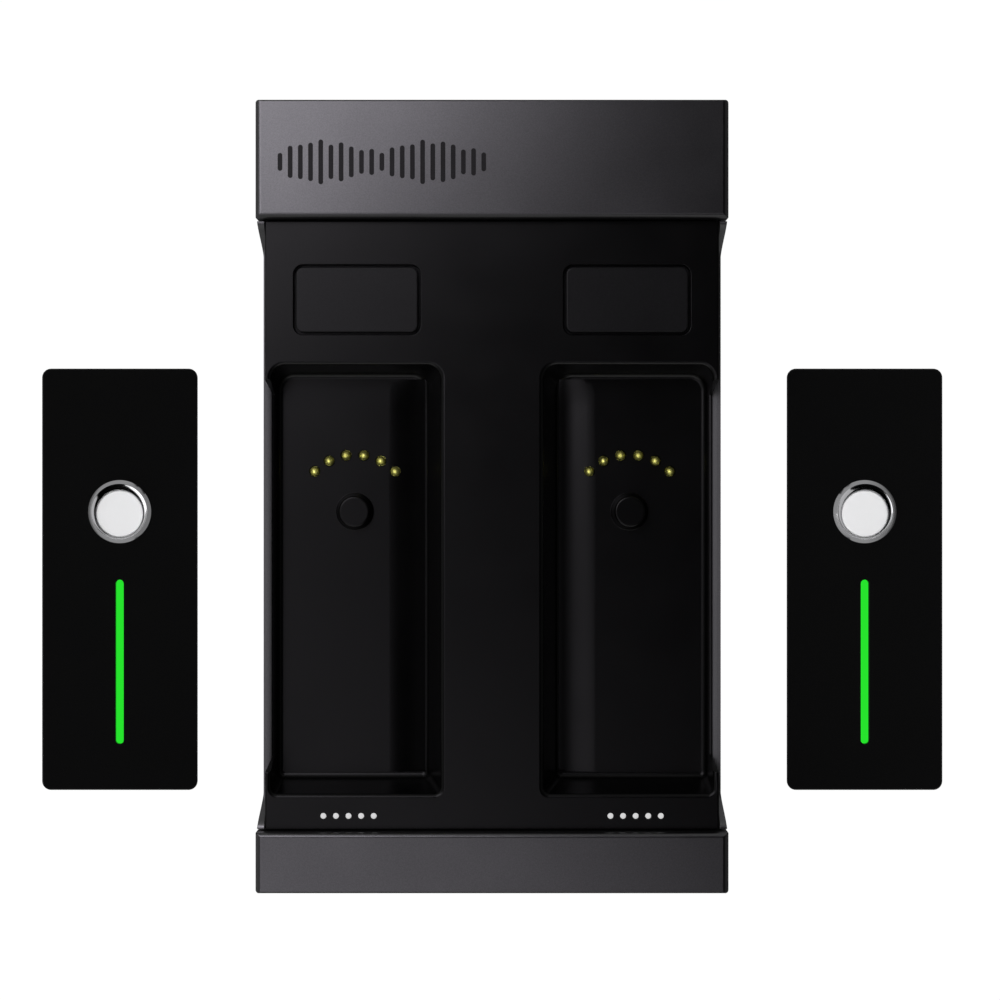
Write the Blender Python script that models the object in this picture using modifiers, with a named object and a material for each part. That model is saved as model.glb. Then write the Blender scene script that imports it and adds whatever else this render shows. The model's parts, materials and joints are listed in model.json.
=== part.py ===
"""Wireless transmitter set: a receiver and charging dock with two bays, and two pocket transmitters.

Metres, +Z up. The table is Z = 0, the dock's length runs along Y with its connectors at +Y, and X = 0 is the
plane that the set is symmetric about. Run with: blender --background --python part.py
"""

import math

import bmesh
import bpy

# ------------------------------------------------------------------ driving dimensions of the dock
DOCK_WIDTH = 0.0904
DOCK_LENGTH = 0.1514
HEAD_TOP = 0.0270  # top of the head and foot covers
HEAD_FRONT = 0.0532  # Y of the head cover's front face
FOOT_BACK = -0.0642  # Y of the foot cover's face towards the bays
BASE = 0.0012  # underside of the metal; the rubber feet stand below it
METAL = 0.0015  # wall of the two covers
PAN = 0.0012  # thickness of the chassis pan
GAP = 0.0003  # clearance between separate pieces
COVER_ROUND = 0.0010  # rounding of the covers' outer edges
PAN_HALF = 0.0431
BEYOND = 0.001  # how far a cutter runs past the face that it opens

RAIL_OUT = 0.0445  # outer face of the chassis side rails
RAIL_IN = 0.0429
RAIL_TOP = 0.0165
FLARE_IN = 0.0438  # inner face of the upper part of a flare
FLARE_LENGTH = 0.0062

TRAY_TOP = 0.0231
TRAY_HALF = 0.04365  # half width of the tray at its top
SKIRT_HALF = 0.0437  # half width at the lower edge of its skirt
SKIRT_LOW = 0.0168
TUB_HALF = 0.0427  # half width of the two bay tubs under the skirt
TUB_LOW = 0.0088
DECK = 0.0016
TRAY_FRONT = -0.06405
TRAY_BACK = 0.05305
TONGUE = {"half": 0.0430, "length": 0.0015, "low": 0.0194, "high": 0.0209}  # tucks under each cover
SPINE_HALF = 0.0079  # half width of the hollow between the two tubs
HOLLOW_FRONT = -0.0594  # the hollows under the deck end at these two walls of the tubs
HOLLOW_BACK = 0.0270
POST_RADIUS = 0.0028
PASSAGE = 0.0212  # the covers' inner walls stop here, so the tray and board pass below

# ------------------------------------------------------------------ bays, mirrored about X = 0
BAY_FLOOR = 0.0112
BAY_MOUTH = {"inner": 0.0098, "outer": 0.0425, "front": -0.0572, "back": 0.0253, "corner": 0.0022}
BAY_BED = {"inner": 0.0126, "outer": 0.0421, "front": -0.0552, "back": 0.02415, "corner": 0.0024}
CREASE = 0.01985  # the bed falls away from here towards the dock's centre
TROUGH_DEPTH = 0.0013
SCOOP_LOW = 0.0162  # the outer wall is cut down to here so that fingers reach the transmitter
SCOOP_FRONT = -0.0533
SCOOP_BACK = 0.0228
SCOOP_RAMP = 0.0037

BOSS_X = 0.0270  # the boss copies a turntable's spindle and locates the transmitter
BOSS_Y = -0.00295
BOSS_HEIGHT = 0.0030
BOSS_ROOT = 0.0036
BOSS_TIP = 0.0031

PIN_CIRCLE = 0.0112
PIN_ANGLES = (45, 63, 81, 99, 117, 135)
PIN_RADIUS = 0.00086
PIN_HOLE = 0.00102
PIN_TIP = 0.0122
PIN_FOOT = 0.0079
PIN_FLANGE = 0.00125
PIN_POCKET = 0.00145

# ------------------------------------------------------------------ keys, lamps, screws, connectors
KEY = {"x": 0.02595, "y": 0.0378, "width": 0.0234, "length": 0.0125, "corner": 0.0014}
KEY_PROUD = 0.0004
KEY_SLIT = 0.0005
KEY_FLANGE = 0.001
KEY_STEM_RADIUS = 0.0015
KEY_STEM_LOW = 0.0110
LAMP_X = 0.0276
LAMP_Y = -0.0614
LAMP_PITCH = 0.00242
LAMP_COUNT = 5
LAMP_RADIUS = 0.00053
PIPE_BAR_LOW = 0.0194
SCREW_SPOTS = ((-0.0393, 0.0486), (0.0393, 0.0486), (-0.0393, -0.0609), (0.0393, -0.0609))
FOOT_SPOTS = {
    "back_left": (-0.0350, 0.0660),
    "back_right": (0.0350, 0.0660),
    "front_left": (-0.0350, -0.0670),
    "front_right": (0.0350, -0.0670),
}
PANEL_FRONT = 0.0646
PANEL_BACK = 0.0660
JACK_XS = (-0.0330, -0.0180, -0.0030, 0.0120)
JACK_Z = 0.0139
JACK_BORE = 0.00165
JACK_BARREL = 0.00415
JACK_FLANGE = 0.0052
JACK_NECK = 0.0043
JACK_BODY = 0.0055
USB_X = 0.0310
USB_FRONT = 0.0586
USB_HEIGHT = 0.0032
SCREW_TOP = 0.0125
SCREW_SHANK = 0.0012
SCREW_HEAD = 0.0026
SCREW_HOLE = 0.0015
COUNTERSINK = 0.0029
FOOT_RADIUS = 0.0050
BOARD_LOW = 0.0046
BOARD_TOP = 0.0062
BOARD_HALF = 0.0418
BOARD_FRONT = -0.0624
CHIPS = (  # left, right, front, back and height of the larger chips
    (-0.0050, 0.0050, 0.0030, 0.0130, 0.0012),
    (-0.0260, -0.0200, 0.0480, 0.0540, 0.0010),
    (-0.0020, 0.0040, 0.0480, 0.0540, 0.0010),
    (0.0140, 0.0220, 0.0470, 0.0550, 0.0014),
)
KEY_SWITCH = {"half": 0.003, "height": 0.0034}
SHIELD = {"half": 0.0070, "front": -0.0420, "back": -0.0200, "height": 0.0025}

# ------------------------------------------------------------------ transmitters
TX_X = 0.07295  # centres of the two transmitters
TX_Y = -0.0162
TX_HEIGHT = 0.0136
TX_TOP = {"half_x": 0.0153, "half_y": 0.0414, "corner": 0.0018}
TX_FOOT = {"half_x": 0.0135, "half_y": 0.0374, "corner": 0.0014}
TX_EDGE = 0.0004
TX_WALL = 0.0012
TX_SPLIT = 0.0015  # height of the seam between base and shell
TX_AXIS = BOSS_Y - TX_Y  # the button and the spindle socket share this axis
SOCKET_RADIUS = 0.0042
SOCKET_DEPTH = 0.0070
BEZEL_RADIUS = 0.0061
BUTTON_RADIUS = 0.0046
BAR_WIDTH = 0.00133
BAR_BACK = -0.0002
BAR_FRONT = -0.0321
BAR_LOW = 0.0106
BAR_FOOT_HALF = 0.0013
SEAT_RADIUS = 0.0056  # hole in the shell for the bezel
BEZEL_NECK = 0.00545
BEZEL_LOW = 0.0122
FLANGE_RADIUS = 0.0052  # the button's flange, kept in by the bezel
FLANGE_TOP = 0.01205
FLANGE_LOW = 0.0117
PAD_WINDOW = 0.00125
TX_BOARD = {"half_x": 0.0126, "half_y": 0.0370, "low": 0.0095, "top": 0.0103, "corner": 0.001}
TX_CHIPS = ((-0.0100, -0.0060, 0.0010, 0.0050, 0.0009), (0.0040, 0.0090, 0.0260, 0.0310, 0.0010))
CELL = {"half": 0.0105, "front": -0.0350, "back": 0.0040, "low": 0.0021, "top": 0.0089}
MAGNET = {"outer": 0.0089, "inner": 0.0055, "low": 0.0018, "top": 0.0040}

MATERIALS = {
    "graphite_metal": ((0.09, 0.09, 0.095), 0.35, 0.9),
    "black_plastic": ((0.012, 0.012, 0.013), 0.45, 0.0),
    "transmitter_black": ((0.008, 0.008, 0.009), 0.4, 0.0),
    "rubber": ((0.02, 0.02, 0.02), 0.9, 0.0),
    "steel": ((0.35, 0.35, 0.36), 0.3, 1.0),
    "gold": ((0.85, 0.62, 0.2), 0.25, 1.0),
    "chrome": ((0.8, 0.8, 0.82), 0.08, 1.0),
    "button_silver": ((0.82, 0.82, 0.83), 0.3, 0.4),
    "lamp_white": ((0.9, 0.9, 0.9), 0.3, 0.0),
    "lamp_green": ((0.02, 0.75, 0.04), 0.3, 0.0),
    "board_green": ((0.02, 0.12, 0.05), 0.5, 0.0),
    "battery_wrap": ((0.05, 0.1, 0.25), 0.5, 0.0),
    "magnet_nickel": ((0.5, 0.5, 0.52), 0.25, 1.0),
}

TAU = 2 * math.pi


# ------------------------------------------------------------------ scene, materials and placing
def clear_scene():
    for obj in list(bpy.data.objects):
        bpy.data.objects.remove(obj)


def new_collection(name):
    made = bpy.data.collections.new(name)
    bpy.context.scene.collection.children.link(made)
    return made


def make_materials():
    for name, (colour, roughness, metallic) in MATERIALS.items():
        material = bpy.data.materials.new(name)
        material.use_nodes = True
        shader = material.node_tree.nodes["Principled BSDF"]
        shader.inputs["Base Color"].default_value = (*colour, 1.0)
        shader.inputs["Roughness"].default_value = roughness
        shader.inputs["Metallic"].default_value = metallic


clear_scene()
PARTS = new_collection("wireless_transmitter_set")
CUTTERS = new_collection("cutters")
make_materials()


def new_empty(name, location):
    empty = bpy.data.objects.new(name, None)
    empty.location = location
    PARTS.objects.link(empty)
    return empty


def new_object(name, mesh):
    obj = bpy.data.objects.new(name, mesh)
    PARTS.objects.link(obj)
    return obj


def finish_part(obj, name, material, parent):
    """Names a piece, gives it its material and hangs it on its assembly's empty."""
    obj.name = name
    obj.data.materials.clear()
    obj.data.materials.append(bpy.data.materials[material])
    obj.parent = parent
    return obj


def helper(obj, parent=None):
    """Turns an object into a cutter or other helper that isn't a part."""
    PARTS.objects.unlink(obj)
    CUTTERS.objects.link(obj)
    obj.hide_render = True
    obj.display_type = "WIRE"
    if parent is not None:
        obj.parent = parent
    return obj


# ------------------------------------------------------------------ shapes
def box(low, high, name="box"):
    """A block between two corners, with its origin at its middle."""
    bm = bmesh.new()
    bmesh.ops.create_cube(bm, size=1.0)
    bmesh.ops.scale(bm, vec=[h - l for l, h in zip(low, high)], verts=bm.verts)
    mesh = bpy.data.meshes.new(name)
    bm.to_mesh(mesh)
    bm.free()
    obj = new_object(name, mesh)
    obj.location = [(l + h) / 2 for l, h in zip(low, high)]
    return obj


def rounded_outline(x0, x1, y0, y1, corner, steps=4):
    """Points of a rectangle with round corners, anticlockwise."""
    left, right, front, back = x0 + corner, x1 - corner, y0 + corner, y1 - corner
    points = []
    for quarter, (cx, cy) in enumerate(((right, back), (left, back), (left, front), (right, front))):
        for step in range(steps + 1):
            angle = (quarter + step / steps) * TAU / 4
            points.append((cx + corner * math.cos(angle), cy + corner * math.sin(angle)))
    return points


def plate(outline, low, high, along="Z"):
    """A flat outline given thickness. It is (x, y) along Z, (x, z) along Y and (y, z) along X."""
    rings = []
    for w in (low, high):
        if along == "Z":
            rings.append([(u, v, w) for u, v in outline])
        elif along == "Y":
            rings.append([(u, w, v) for u, v in outline])
        else:
            rings.append([(w, u, v) for u, v in outline])
    return loft(rings)


def cylinder(x, y, low, high, radius, segments=16, tip=None, name="cylinder"):
    """An upright cylinder, or a cone with another radius at its top."""
    bm = bmesh.new()
    top = radius if tip is None else tip
    bmesh.ops.create_cone(bm, cap_ends=True, segments=segments, radius1=radius, radius2=top, depth=high - low)
    mesh = bpy.data.meshes.new(name)
    bm.to_mesh(mesh)
    bm.free()
    obj = new_object(name, mesh)
    obj.location = (x, y, (low + high) / 2)
    return obj


def turned(profile, segments=24, closed=False, name="turned"):
    """A profile of (radius, height) points turned about Z, from the top down the outer side."""
    edges = [(i, i + 1) for i in range(len(profile) - 1)]
    if closed:
        edges.append((len(profile) - 1, 0))
    mesh = bpy.data.meshes.new(name)
    mesh.from_pydata([(radius, 0.0, height) for radius, height in profile], edges, [])
    obj = new_object(name, mesh)
    screw = obj.modifiers.new("turn", "SCREW")
    screw.steps = segments
    screw.render_steps = segments
    screw.use_merge_vertices = True
    screw.merge_threshold = 1e-6
    return obj


def loft(rings, name="loft"):
    """A closed solid through rings of equal length, each anticlockwise seen from the last ring's end."""
    bm = bmesh.new()
    levels = [[bm.verts.new(point) for point in ring] for ring in rings]
    count = len(rings[0])
    for lower, upper in zip(levels, levels[1:]):
        for i in range(count):
            j = (i + 1) % count
            bm.faces.new((lower[i], lower[j], upper[j], upper[i]))
    bm.faces.new(levels[0][::-1])
    bm.faces.new(levels[-1])
    bmesh.ops.remove_doubles(bm, verts=bm.verts, dist=1e-7)
    bmesh.ops.recalc_face_normals(bm, faces=bm.faces)
    mesh = bpy.data.meshes.new(name)
    bm.to_mesh(mesh)
    bm.free()
    return new_object(name, mesh)


def combine(target, others, operation, parent=None):
    for other in others:
        helper(other, parent)
        modifier = target.modifiers.new(operation.lower(), "BOOLEAN")
        modifier.operation = operation
        modifier.solver = "EXACT"
        modifier.object = other
    return target


def join(target, *others, parent=None):
    return combine(target, others, "UNION", parent)


def cut(target, *others, parent=None):
    return combine(target, others, "DIFFERENCE", parent)


def row_of(shapes, name="row"):
    """Several separate cutters as one object, so that one Boolean makes all the holes."""
    bm = bmesh.new()
    for shape in shapes:
        bpy.context.view_layer.update()
        copy = shape.data.copy()
        copy.transform(shape.matrix_world)
        bm.from_mesh(copy)
        bpy.data.meshes.remove(copy)
        bpy.data.objects.remove(shape)
    mesh = bpy.data.meshes.new(name)
    bm.to_mesh(mesh)
    bm.free()
    return new_object(name, mesh)


def soften(obj, width, segments=2, angle=30):
    bevel = obj.modifiers.new("soften", "BEVEL")
    bevel.width = width
    bevel.segments = segments
    bevel.limit_method = "ANGLE"
    bevel.angle_limit = math.radians(angle)
    return obj


def sided(side, inner, outer):
    """Low and high X of a span that is mirrored to one side of the dock."""
    return (inner, outer) if side > 0 else (-outer, -inner)


def ease(t):
    return t * t * (3 - 2 * t)


def side_name(side):
    return "right" if side > 0 else "left"


# ------------------------------------------------------------------ dock: metalwork
def side_rail(side):
    """One upturned edge of the pan. At both ends it flares out and up to the deck's height."""
    front, back = FOOT_BACK + GAP, HEAD_FRONT - GAP
    steps = 6
    stations = [(back - FLARE_LENGTH * i / steps, 1 - i / steps) for i in range(steps + 1)]
    stations += [(front + FLARE_LENGTH * (1 - i / steps), i / steps) for i in range(steps + 1)]
    half = DOCK_WIDTH / 2
    rings = []
    for y, rise in stations:
        out = RAIL_OUT + (half - RAIL_OUT) * rise
        top = RAIL_TOP + (TRAY_TOP - RAIL_TOP) * ease(rise)
        outer = ((RAIL_IN, BASE), (out, BASE), (out, top))
        inner = ((FLARE_IN, top), (FLARE_IN, RAIL_TOP), (RAIL_IN, RAIL_TOP))
        rings.append([(side * x, y, z) for x, z in outer + inner])
    return loft(rings)


def screw_holes(low, high, radius):
    return row_of([cylinder(x, y, low, high, radius) for x, y in SCREW_SPOTS])


def chassis_pan(dock):
    half_y = DOCK_LENGTH / 2 - GAP
    top = BASE + PAN
    pan = box((-PAN_HALF, -half_y + METAL, BASE), (PAN_HALF, half_y, top))
    countersinks = [cylinder(x, y, BASE - 0.0001, top, COUNTERSINK, tip=SCREW_HOLE) for x, y in SCREW_SPOTS]
    join(pan, side_rail(1), side_rail(-1), parent=dock)
    cut(pan, row_of(countersinks), screw_holes(0, top + BEYOND, SCREW_HOLE), parent=dock)
    return finish_part(pan, "chassis_pan", "graphite_metal", dock)


def cover_shell(front, back):
    """A block of the dock's width and full height, with softened corners."""
    half = DOCK_WIDTH / 2
    block = box((-half, front, BASE), (half, back, HEAD_TOP))
    return soften(block, COVER_ROUND)


def head_cover(dock):
    back = DOCK_LENGTH / 2
    shell = cover_shell(HEAD_FRONT, back)
    inside = DOCK_WIDTH / 2 - METAL
    hollow = box((-inside, HEAD_FRONT + METAL, -BEYOND), (inside, back + BEYOND, HEAD_TOP - METAL))
    passage = box((-inside, HEAD_FRONT - BEYOND, -BEYOND), (inside, HEAD_FRONT + METAL + BEYOND, PASSAGE))
    cut(shell, hollow, passage, parent=dock)
    return finish_part(shell, "head_cover", "graphite_metal", dock)


def foot_cover(dock):
    front = -DOCK_LENGTH / 2
    shell = cover_shell(front, FOOT_BACK)
    inside = DOCK_WIDTH / 2 - METAL
    hollow = box((-inside, front + METAL, -BEYOND), (inside, FOOT_BACK - METAL, HEAD_TOP - METAL))
    passage = box((-inside, FOOT_BACK - METAL - BEYOND, -BEYOND), (inside, FOOT_BACK + BEYOND, PASSAGE))
    cut(shell, hollow, passage, parent=dock)
    return finish_part(shell, "foot_cover", "graphite_metal", dock)


# ------------------------------------------------------------------ dock: tray
def bay_ring(side, spec, z):
    x0, x1 = sided(side, spec["inner"], spec["outer"])
    return [(x, y, z) for x, y in rounded_outline(x0, x1, spec["front"], spec["back"], spec["corner"])]


def bay_hollow(side):
    """The tapered space that a transmitter sits in. It runs on above the deck at the same taper."""
    share = BEYOND / (TRAY_TOP - BAY_FLOOR)
    above = {key: BAY_MOUTH[key] + (BAY_MOUTH[key] - BAY_BED[key]) * share for key in BAY_MOUTH}
    return loft([bay_ring(side, BAY_BED, BAY_FLOOR), bay_ring(side, above, TRAY_TOP + BEYOND)])


def trough(side):
    """The shallow fall of the bed between its crease and the inner wall."""
    foot = BAY_BED["inner"] + 0.0002
    deep = foot + 0.0016
    fall = TROUGH_DEPTH / (CREASE - deep)
    section = (
        (CREASE + BEYOND, BAY_FLOOR + BEYOND * fall),
        (CREASE + BEYOND, BAY_FLOOR + BEYOND),
        (foot, BAY_FLOOR + BEYOND),
        (foot + 0.0003, BAY_FLOOR - 0.4 * TROUGH_DEPTH),
        (deep, BAY_FLOOR - TROUGH_DEPTH),
    )
    outline = [(side * x, z) for x, z in section]
    return plate(outline, BAY_BED["front"] + 0.0004, BAY_BED["back"] - 0.0004, along="Y")


def scoop(side):
    """Cuts the bay's outer wall down, with a ramp at each end."""
    steps = 5
    high = TRAY_TOP + BEYOND
    shares = [i / steps for i in range(steps + 1)]
    levels = [SCOOP_LOW + (TRAY_TOP - SCOOP_LOW) * ease(1 - share) for share in shares]
    back = [(SCOOP_BACK - SCOOP_RAMP * share, z) for share, z in zip(shares, levels)]
    front = [(SCOOP_FRONT + SCOOP_RAMP * share, z) for share, z in zip(shares, levels)]
    outline = [(SCOOP_BACK, high), *back, *reversed(front), (SCOOP_FRONT, high)]
    x0, x1 = sided(side, BAY_BED["outer"] + 0.0001, DOCK_WIDTH / 2 + BEYOND)
    return plate(outline, x0, x1, along="X")


def on_circle(centre_x, centre_y, radius, degrees):
    angle = math.radians(degrees)
    return centre_x + radius * math.cos(angle), centre_y + radius * math.sin(angle)


def pin_spots(side):
    return [on_circle(side * BOSS_X, BOSS_Y, PIN_CIRCLE, angle) for angle in reversed(PIN_ANGLES)]


def lamp_spots(side):
    first = side * LAMP_X - LAMP_PITCH * (LAMP_COUNT - 1) / 2
    return [(first + LAMP_PITCH * i, LAMP_Y) for i in range(LAMP_COUNT)]


def key_outline(side, grow):
    x, y = side * KEY["x"], KEY["y"]
    w, l = KEY["width"] / 2 + grow, KEY["length"] / 2 + grow
    return rounded_outline(x - w, x + w, y - l, y + l, KEY["corner"] + grow)


def tray_block():
    """The tray's outer form: a deck with a drafted skirt over two deeper tubs."""
    section = (
        (-TRAY_HALF, TRAY_TOP),
        (TRAY_HALF, TRAY_TOP),
        (SKIRT_HALF, SKIRT_LOW),
        (TUB_HALF, SKIRT_LOW + 0.0002),
        (TUB_HALF, TUB_LOW),
        (-TUB_HALF, TUB_LOW),
        (-TUB_HALF, SKIRT_LOW + 0.0002),
        (-SKIRT_HALF, SKIRT_LOW),
    )
    return plate(section, TRAY_FRONT, TRAY_BACK, along="Y")


def tongue(front, back):
    """A lip at one end of the tray that reaches in under a cover."""
    half = TONGUE["half"]
    return box((-half, front, TONGUE["low"]), (half, back, TONGUE["high"]))


def tray(dock):
    body = tray_block()
    deck_low = TRAY_TOP - DECK
    ledge = SKIRT_LOW + 0.0004
    inside = TRAY_HALF - 0.0012
    wide = DOCK_WIDTH / 2
    right_half = [(wide, 0), (wide, ledge), (inside, ledge), (inside, deck_low)]
    hollow = right_half + [(-x, z) for x, z in reversed(right_half)]
    behind_bays = plate(hollow, HOLLOW_BACK, TRAY_BACK - DECK, along="Y")
    before_bays = plate(hollow, TRAY_FRONT + DECK, HOLLOW_FRONT, along="Y")
    spine_low = (-SPINE_HALF, TRAY_FRONT + DECK + BEYOND, 0.0)
    between_bays = box(spine_low, (SPINE_HALF, HOLLOW_BACK + BEYOND, deck_low - 0.0001))
    cut(body, behind_bays, before_bays, between_bays, parent=dock)

    tongues = [tongue(TRAY_BACK - BEYOND, TRAY_BACK + TONGUE["length"])]
    tongues.append(tongue(TRAY_FRONT - TONGUE["length"], TRAY_FRONT + BEYOND))
    posts = [cylinder(x, y, BOARD_TOP + GAP, deck_low + 0.0005, POST_RADIUS) for x, y in SCREW_SPOTS]
    join(body, *tongues, *posts, parent=dock)
    cut(body, screw_holes(BOARD_TOP, SCREW_TOP + 0.002, SCREW_SHANK + 0.00015), parent=dock)

    for side in (-1, 1):
        cut(body, bay_hollow(side), trough(side), scoop(side), parent=dock)
        peg_top = BAY_FLOOR + BOSS_HEIGHT
        boss = cylinder(side * BOSS_X, BOSS_Y, BAY_FLOOR - BEYOND, peg_top, BOSS_ROOT, 24, tip=BOSS_TIP)
        join(body, boss, parent=dock)
        low, high = deck_low - BEYOND, TRAY_TOP + BEYOND
        key_well = plate(key_outline(side, KEY_SLIT), low, high)
        pin_low, pin_high = TUB_LOW - BEYOND, BAY_FLOOR + BEYOND
        pin_holes = row_of([cylinder(x, y, pin_low, pin_high, PIN_HOLE) for x, y in pin_spots(side)])
        lamp_hole = LAMP_RADIUS + 0.0001
        lamp_holes = row_of([cylinder(x, y, low, high, lamp_hole, 12) for x, y in lamp_spots(side)])
        cut(body, key_well, pin_holes, lamp_holes, parent=dock)
    return finish_part(body, "tray", "black_plastic", dock)


# ------------------------------------------------------------------ dock: keys, lamps and contacts
def deck_key(side):
    """A key cap with a retaining flange under the deck and a stem that reaches the switch on the board."""
    empty = new_empty(f"key_axis_{side_name(side)}", (side * KEY["x"], KEY["y"], 0))
    w, l, corner = KEY["width"] / 2, KEY["length"] / 2, KEY["corner"]
    deck_low = TRAY_TOP - DECK
    cap = plate(rounded_outline(-w, w, -l, l, corner), deck_low - 0.0012, TRAY_TOP + KEY_PROUD)
    soften(cap, 0.0003)
    wide, long = w + KEY_FLANGE, l + KEY_FLANGE
    flange = plate(rounded_outline(-wide, wide, -long, long, corner), deck_low - 0.0013, deck_low - GAP)
    stem = cylinder(0, 0, KEY_STEM_LOW, deck_low - 0.001, KEY_STEM_RADIUS, 12)
    join(cap, flange, stem, parent=empty)
    return finish_part(cap, f"deck_key_{side_name(side)}", "black_plastic", empty)


def light_pipe(side, dock):
    """Five clear rods on one bar. Their tips are the lamp windows."""
    spots = lamp_spots(side)
    end = 0.0018
    low = (spots[0][0] - end, LAMP_Y - 0.0008, PIPE_BAR_LOW)
    bar = box(low, (spots[-1][0] + end, LAMP_Y + 0.0012, TRAY_TOP - DECK - GAP))
    radius = LAMP_RADIUS - 0.00003
    rods = [cylinder(x, y, BOARD_TOP + 0.0012, TRAY_TOP + 0.00003, radius, 12) for x, y in spots]
    join(bar, *rods, parent=dock)
    return finish_part(bar, f"light_pipe_{side_name(side)}", "lamp_white", dock)


def arc_outline(centre_x, centre_y, inner, outer, half_angle, steps=10):
    """A band of a ring about straight up, as an outline."""
    angles = [90 - half_angle + 2 * half_angle * i / steps for i in range(steps + 1)]
    outside = [on_circle(centre_x, centre_y, outer, angle) for angle in angles]
    inside = [on_circle(centre_x, centre_y, inner, angle) for angle in angles]
    return outside + inside[::-1]


def contact_carrier(side, dock):
    """An insulating arc under the bay's bed, with a pocket for each contact pin's flange and spring."""
    low, high = BOARD_TOP + 0.0002, TUB_LOW - GAP
    band = PIN_POCKET + 0.0006
    arc = plate(arc_outline(side * BOSS_X, BOSS_Y, PIN_CIRCLE - band, PIN_CIRCLE + band, 56), low, high)
    pockets = [cylinder(x, y, low + 0.0004, high + BEYOND, PIN_POCKET) for x, y in pin_spots(side)]
    cut(arc, row_of(pockets), parent=dock)
    return finish_part(arc, f"contact_carrier_{side_name(side)}", "black_plastic", dock)


def contact_pins(side):
    """Six sprung pins with round tips. A flange under the bed keeps each one in."""
    r = PIN_RADIUS
    tip = PIN_TIP - PIN_FOOT
    shoulder = TUB_LOW - GAP - 0.0001 - PIN_FOOT
    dome = [(r * math.sin(TAU * i / 16), tip - r + r * math.cos(TAU * i / 16)) for i in range(5)]
    profile = [*dome, (r, shoulder), (PIN_FLANGE, shoulder), (PIN_FLANGE, 0.0), (0.0, 0.0)]
    for number, (x, y) in enumerate(pin_spots(side), start=1):
        pin = turned(profile, 14)
        pin.location = (x, y, PIN_FOOT)
        finish_part(pin, f"contact_pin_{side_name(side)}_{number}", "gold", None)


def bay_magnet(side, dock):
    disc = cylinder(side * BOSS_X, BOSS_Y, BOARD_TOP + 0.0005, TUB_LOW - GAP, 0.0075, 24)
    return finish_part(disc, f"bay_magnet_{side_name(side)}", "magnet_nickel", dock)


# ------------------------------------------------------------------ dock: boards, connectors, fasteners
def main_board(dock):
    """The board with its key switches, lamp chips and larger chips soldered on."""
    board = box((-BOARD_HALF, BOARD_FRONT, BOARD_LOW), (BOARD_HALF, PANEL_FRONT - 0.0004, BOARD_TOP))
    solder = BOARD_TOP - 0.0002
    blocks = [box((x0, y0, solder), (x1, y1, BOARD_TOP + height)) for x0, x1, y0, y1, height in CHIPS]
    half, switch_top = KEY_SWITCH["half"], BOARD_TOP + KEY_SWITCH["height"]
    for side in (-1, 1):
        x, y = side * KEY["x"], KEY["y"]
        blocks.append(box((x - half, y - half, solder), (x + half, y + half, switch_top)))
        spots = lamp_spots(side)
        low = (spots[0][0] - 0.0010, LAMP_Y - 0.0006, solder)
        blocks.append(box(low, (spots[-1][0] + 0.0010, LAMP_Y + 0.0006, BOARD_TOP + 0.0008)))
    join(board, *blocks, parent=dock)
    cut(board, screw_holes(BOARD_LOW - BEYOND, BOARD_TOP + 0.0003, SCREW_HOLE + GAP), parent=dock)
    return finish_part(board, "main_board", "board_green", dock)


def radio_shield(dock):
    half = SHIELD["half"]
    low = (-half, SHIELD["front"], BOARD_TOP + GAP)
    can = box(low, (half, SHIELD["back"], BOARD_TOP + SHIELD["height"]))
    return finish_part(soften(can, 0.0003, 1), "radio_shield", "steel", dock)


def usb_outline(half_width, half_height, corner):
    """A rounded outline about the middle of the USB socket, as (x, z)."""
    z = BOARD_TOP + GAP + USB_HEIGHT / 2
    return rounded_outline(USB_X - half_width, USB_X + half_width, z - half_height, z + half_height, corner)


def rear_panel(dock):
    inside = DOCK_WIDTH / 2 - METAL - GAP
    panel = box((-inside, PANEL_FRONT, BASE + PAN + GAP), (inside, PANEL_BACK, HEAD_TOP - METAL - GAP))
    holes = []
    for x in JACK_XS:
        hole = cylinder(x, 0, -0.002, 0.002, JACK_NECK + GAP, 24)
        hole.rotation_euler = (TAU / 4, 0, 0)
        hole.location = (x, (PANEL_FRONT + PANEL_BACK) / 2, JACK_Z)
        holes.append(hole)
    outline = usb_outline(0.0048, 0.0020, 0.0015)
    slot = plate(outline, PANEL_FRONT - BEYOND, PANEL_BACK + BEYOND, along="Y")
    cut(panel, row_of(holes), slot, parent=dock)
    return finish_part(panel, "rear_panel", "black_plastic", dock)


def phono_jack(number, x, dock):
    """A turned jack: its body is behind the panel, and its flange and bored barrel are in front."""
    behind, panel = 0.0070, PANEL_BACK - PANEL_FRONT
    flange = panel + GAP
    mouth = flange + 0.0080
    profile = (
        (0.0, flange),
        (JACK_BORE, flange),
        (JACK_BORE, mouth),
        (JACK_BARREL, mouth),
        (JACK_BARREL, flange + 0.0011),
        (JACK_FLANGE, flange + 0.0011),
        (JACK_FLANGE, flange),
        (JACK_NECK, flange),
        (JACK_NECK, -GAP),
        (JACK_BODY, -GAP),
        (JACK_BODY, -behind),
        (0.0, -behind),
    )
    jack = turned(profile, 20)
    jack.rotation_euler = (-TAU / 4, 0, 0)
    jack.location = (x, PANEL_FRONT, JACK_Z)
    return finish_part(jack, f"phono_jack_{number}", "gold", dock)


def usb_socket(dock):
    z = BOARD_TOP + GAP + USB_HEIGHT / 2
    back = PANEL_BACK + 0.0006
    shell = plate(usb_outline(0.0044, USB_HEIGHT / 2, 0.0013), USB_FRONT, back, along="Y")
    mouth = plate(usb_outline(0.0041, 0.0013, 0.0011), back - 0.0062, back + BEYOND, along="Y")
    half, thin = 0.0033, 0.00035
    blade = box((USB_X - half, back - 0.0065, z - thin), (USB_X + half, back - 0.0010, z + thin))
    cut(shell, mouth, parent=dock)
    join(shell, blade, parent=dock)
    return finish_part(shell, "usb_socket", "steel", dock)


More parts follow.
